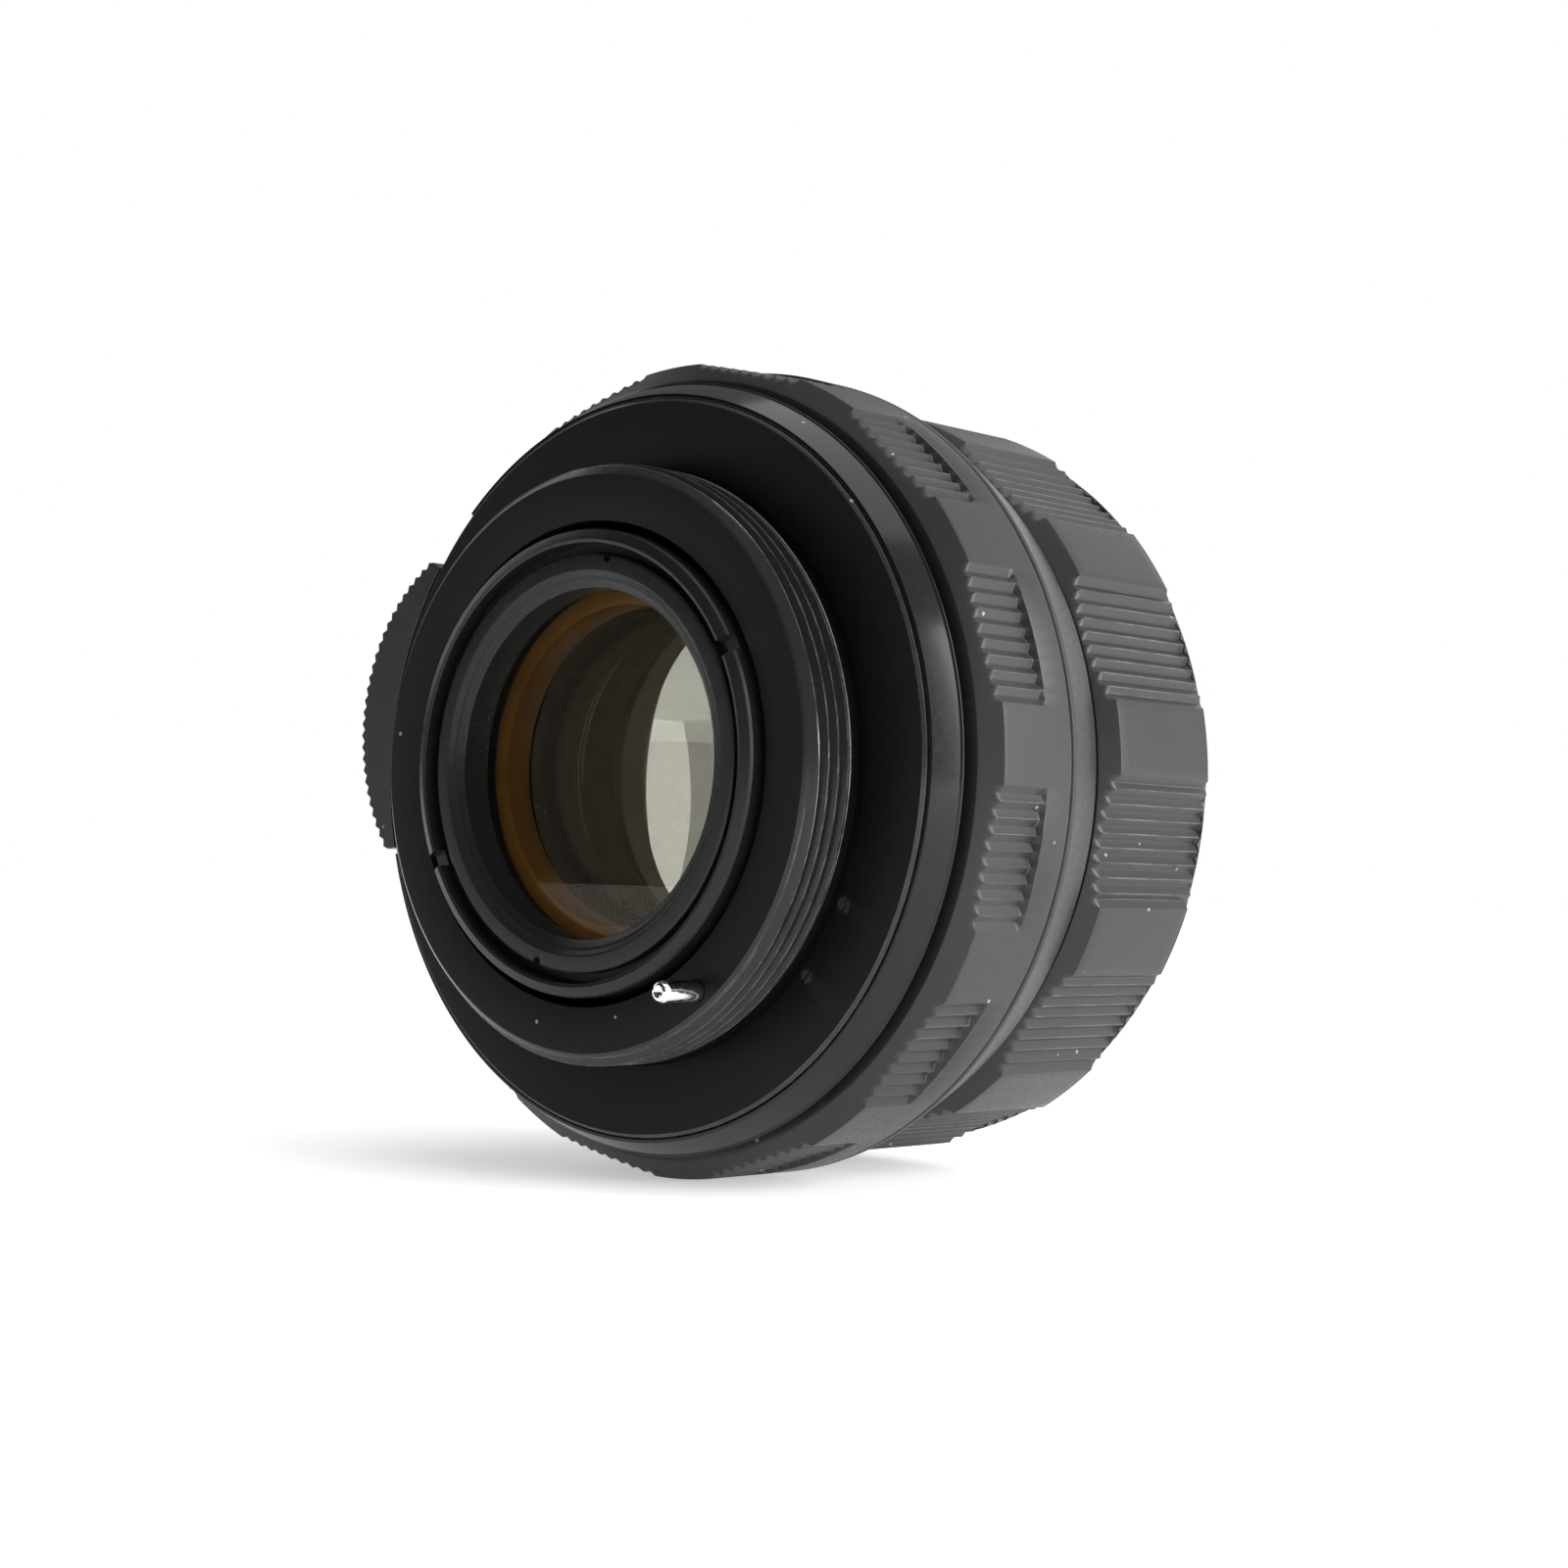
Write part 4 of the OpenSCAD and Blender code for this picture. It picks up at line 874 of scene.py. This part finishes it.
def rear_ring():
    node = "rear_retaining_ring"
    face, foot, inner, outer = rear_of(node), front_of(node), bore_of(node), radius_of(node)
    land, foot_r = 13.45, 12.8
    ring = lathe("rear_retaining_ring_turned", [
        (face + 0.65, inner, 0.03), (face + 0.32, inner + 0.55, 0.03), (face + 0.30, inner + 0.75, 0.03),
        (face + 0.02, land - 0.13, 0.04), (face, land, 0.03), (face, outer - 0.18, 0.03),
        (face + 0.10, outer, 0.03), (foot, outer, 0.0), (foot, foot_r, 0.0), (foot - 0.45, inner, 0.0)])
    for angle in (81, 256):
        cut(ring, rod("notch_cutter", (angle, outer - 0.2), face - 1, face + 0.5, 0.35, 24))
    install(ring, "optical_block", "mount_black", TUBE, node)


def lens_glass(name, replaced, form, material, slot, flat_from=None):
    """A ground element with a blackened rim. A curve above 0 bulges outwards, and below 0 it is hollow."""
    rim, rear, rear_curve, front, front_curve = form

    def face(vertex, curve, way):
        def height(r):
            used = min(r, flat_from) if curve < 0 and flat_from else r
            return vertex - way * math.copysign(sag(abs(curve), used), curve)
        return height

    piece = dish(name, rim - 0.02, face(rear + 0.005, rear_curve, -1), face(front - 0.005, front_curve, 1))
    install(piece, "optical_block", slot, [material, MATT], *replaced)
    paint(piece, 1, lambda y, r: r > rim - 0.1 or (flat_from is not None and r > flat_from and y > front))


def all_glass():
    lens_glass("rear_element_ground", ["rear_element"], REAR_GLASS, AMBER, "amber_glass")
    lens_glass("rear_pair_ground", ["pair_rear_element", "pair_front_element"], PAIR_GLASS, AMBER_PAIR,
               "amber_glass", 10.0)
    lens_glass("third_element_ground", ["third_element"], THIRD_GLASS, CLEAR_THIRD, "clear_glass", 10.5)
    lens_glass("second_element_ground", ["second_element"], SECOND_GLASS, CLEAR, "clear_glass")
    lens_glass("front_element_ground", ["front_element"], FRONT_GLASS, CLEAR, "clear_glass")


# ---------------------------------------------------------------- dial marks

def on_ring(points, t, y, r):
    """Bends flat points (across, along, height) onto a ring that reads from behind."""
    return [on_circle(r + z, y + v, t - u / r) for u, v, z in points]


def numeral(text, t, y, r, height, slope=0.0):
    """A filled-in number on a ring, its foot towards the rear. slope is the ring's fall in radius per mm."""
    curve = bpy.data.curves.new("numeral_" + text, "FONT")
    curve.body = text
    curve.size = height
    curve.align_x = "CENTER"
    curve.align_y = "CENTER"
    curve.extrude = 0.012
    curve.resolution_u = 3
    flat = bpy.data.objects.new("numeral", curve)
    bpy.context.scene.collection.objects.link(flat)
    bpy.context.view_layer.update()
    mesh = bpy.data.meshes.new_from_object(flat.evaluated_get(bpy.context.evaluated_depsgraph_get()))
    bpy.data.objects.remove(flat)
    points = [(v.co.x, v.co.y, v.co.z - v.co.y * slope) for v in mesh.vertices]
    faces = [tuple(f.vertices) for f in mesh.polygons]
    return on_ring(points, t, y, r), faces


def tick(t, y0, y1, width, r0, r1, height=0.012):
    points = []
    for z in (-height, height):
        for u, y, r in ((-width / 2, y0, r0), (width / 2, y0, r0), (width / 2, y1, r1), (-width / 2, y1, r1)):
            points.append(on_circle(r + z, y, t - u / r))
    faces = [(0, 1, 2, 3), (7, 6, 5, 4), (0, 4, 5, 1), (1, 5, 6, 2), (2, 6, 7, 3), (3, 7, 4, 0)]
    return points, faces


def gather(name, parts, body, material):
    """Joins several marks into one piece."""
    points, faces = [], []
    for part_points, part_faces in parts:
        faces += [tuple(i + len(points) for i in face) for face in part_faces]
        points += part_points
    piece = add_mesh(name, points, faces)
    piece.data.materials.append(material)
    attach(piece, body)


def dial_marks():
    scale_rear = rear_of("depth_scale_ring")
    cone_rear, cone_front = scale_rear + 0.45, front_of("depth_scale_ring") - 0.16
    slope = SCALE_FALL / (cone_front - cone_rear)

    def cone_r(y):
        return BODY - slope * (y - cone_rear)

    def cone_tick(t, y0, y1, width):
        return tick(t, y0, y1, width, cone_r(y0), cone_r(y1))

    stops = ["1.8", "2.8", "4", "5.6", "8", "11", "16"]
    band = APERTURE_REAR + APERTURE_KNURL + 1.25
    marks = [numeral(s, INDEX_ANGLE + math.radians(10 * i), band, BODY, 1.9) for i, s in enumerate(stops)]
    gather("aperture_numbers", marks, "aperture_unit", INK)
    lines, numbers = [], []
    for i, s in enumerate(["4", "8", "16"]):
        for side in (-1, 1):
            t = INDEX_ANGLE + side * math.radians((6, 12, 22)[i])
            lines.append(cone_tick(t, cone_front - 1.3, cone_front - 0.25, 0.18))
            numbers.append(numeral(s, t, cone_front - 2.5, cone_r(cone_front - 2.5), 1.6, slope))
    gather("depth_scale_lines", lines, "lens_base", INK)
    gather("depth_scale_numbers", numbers, "lens_base", INK)
    index = [cone_tick(INDEX_ANGLE, cone_rear + 0.3, cone_front - 0.2, 0.28)]
    gather("index_line", index, "lens_base", RED_INK)


add_camera()
add_world()
add_lights()
add_floor()
rear_mount()
base_barrel()
switch()
stop_pin()
aperture_ring()
depth_scale_ring()
focus_ring()
front_bezel()
name_ring()
front_retaining_ring()
rear_tube()
rear_ring()
all_glass()
dial_marks()
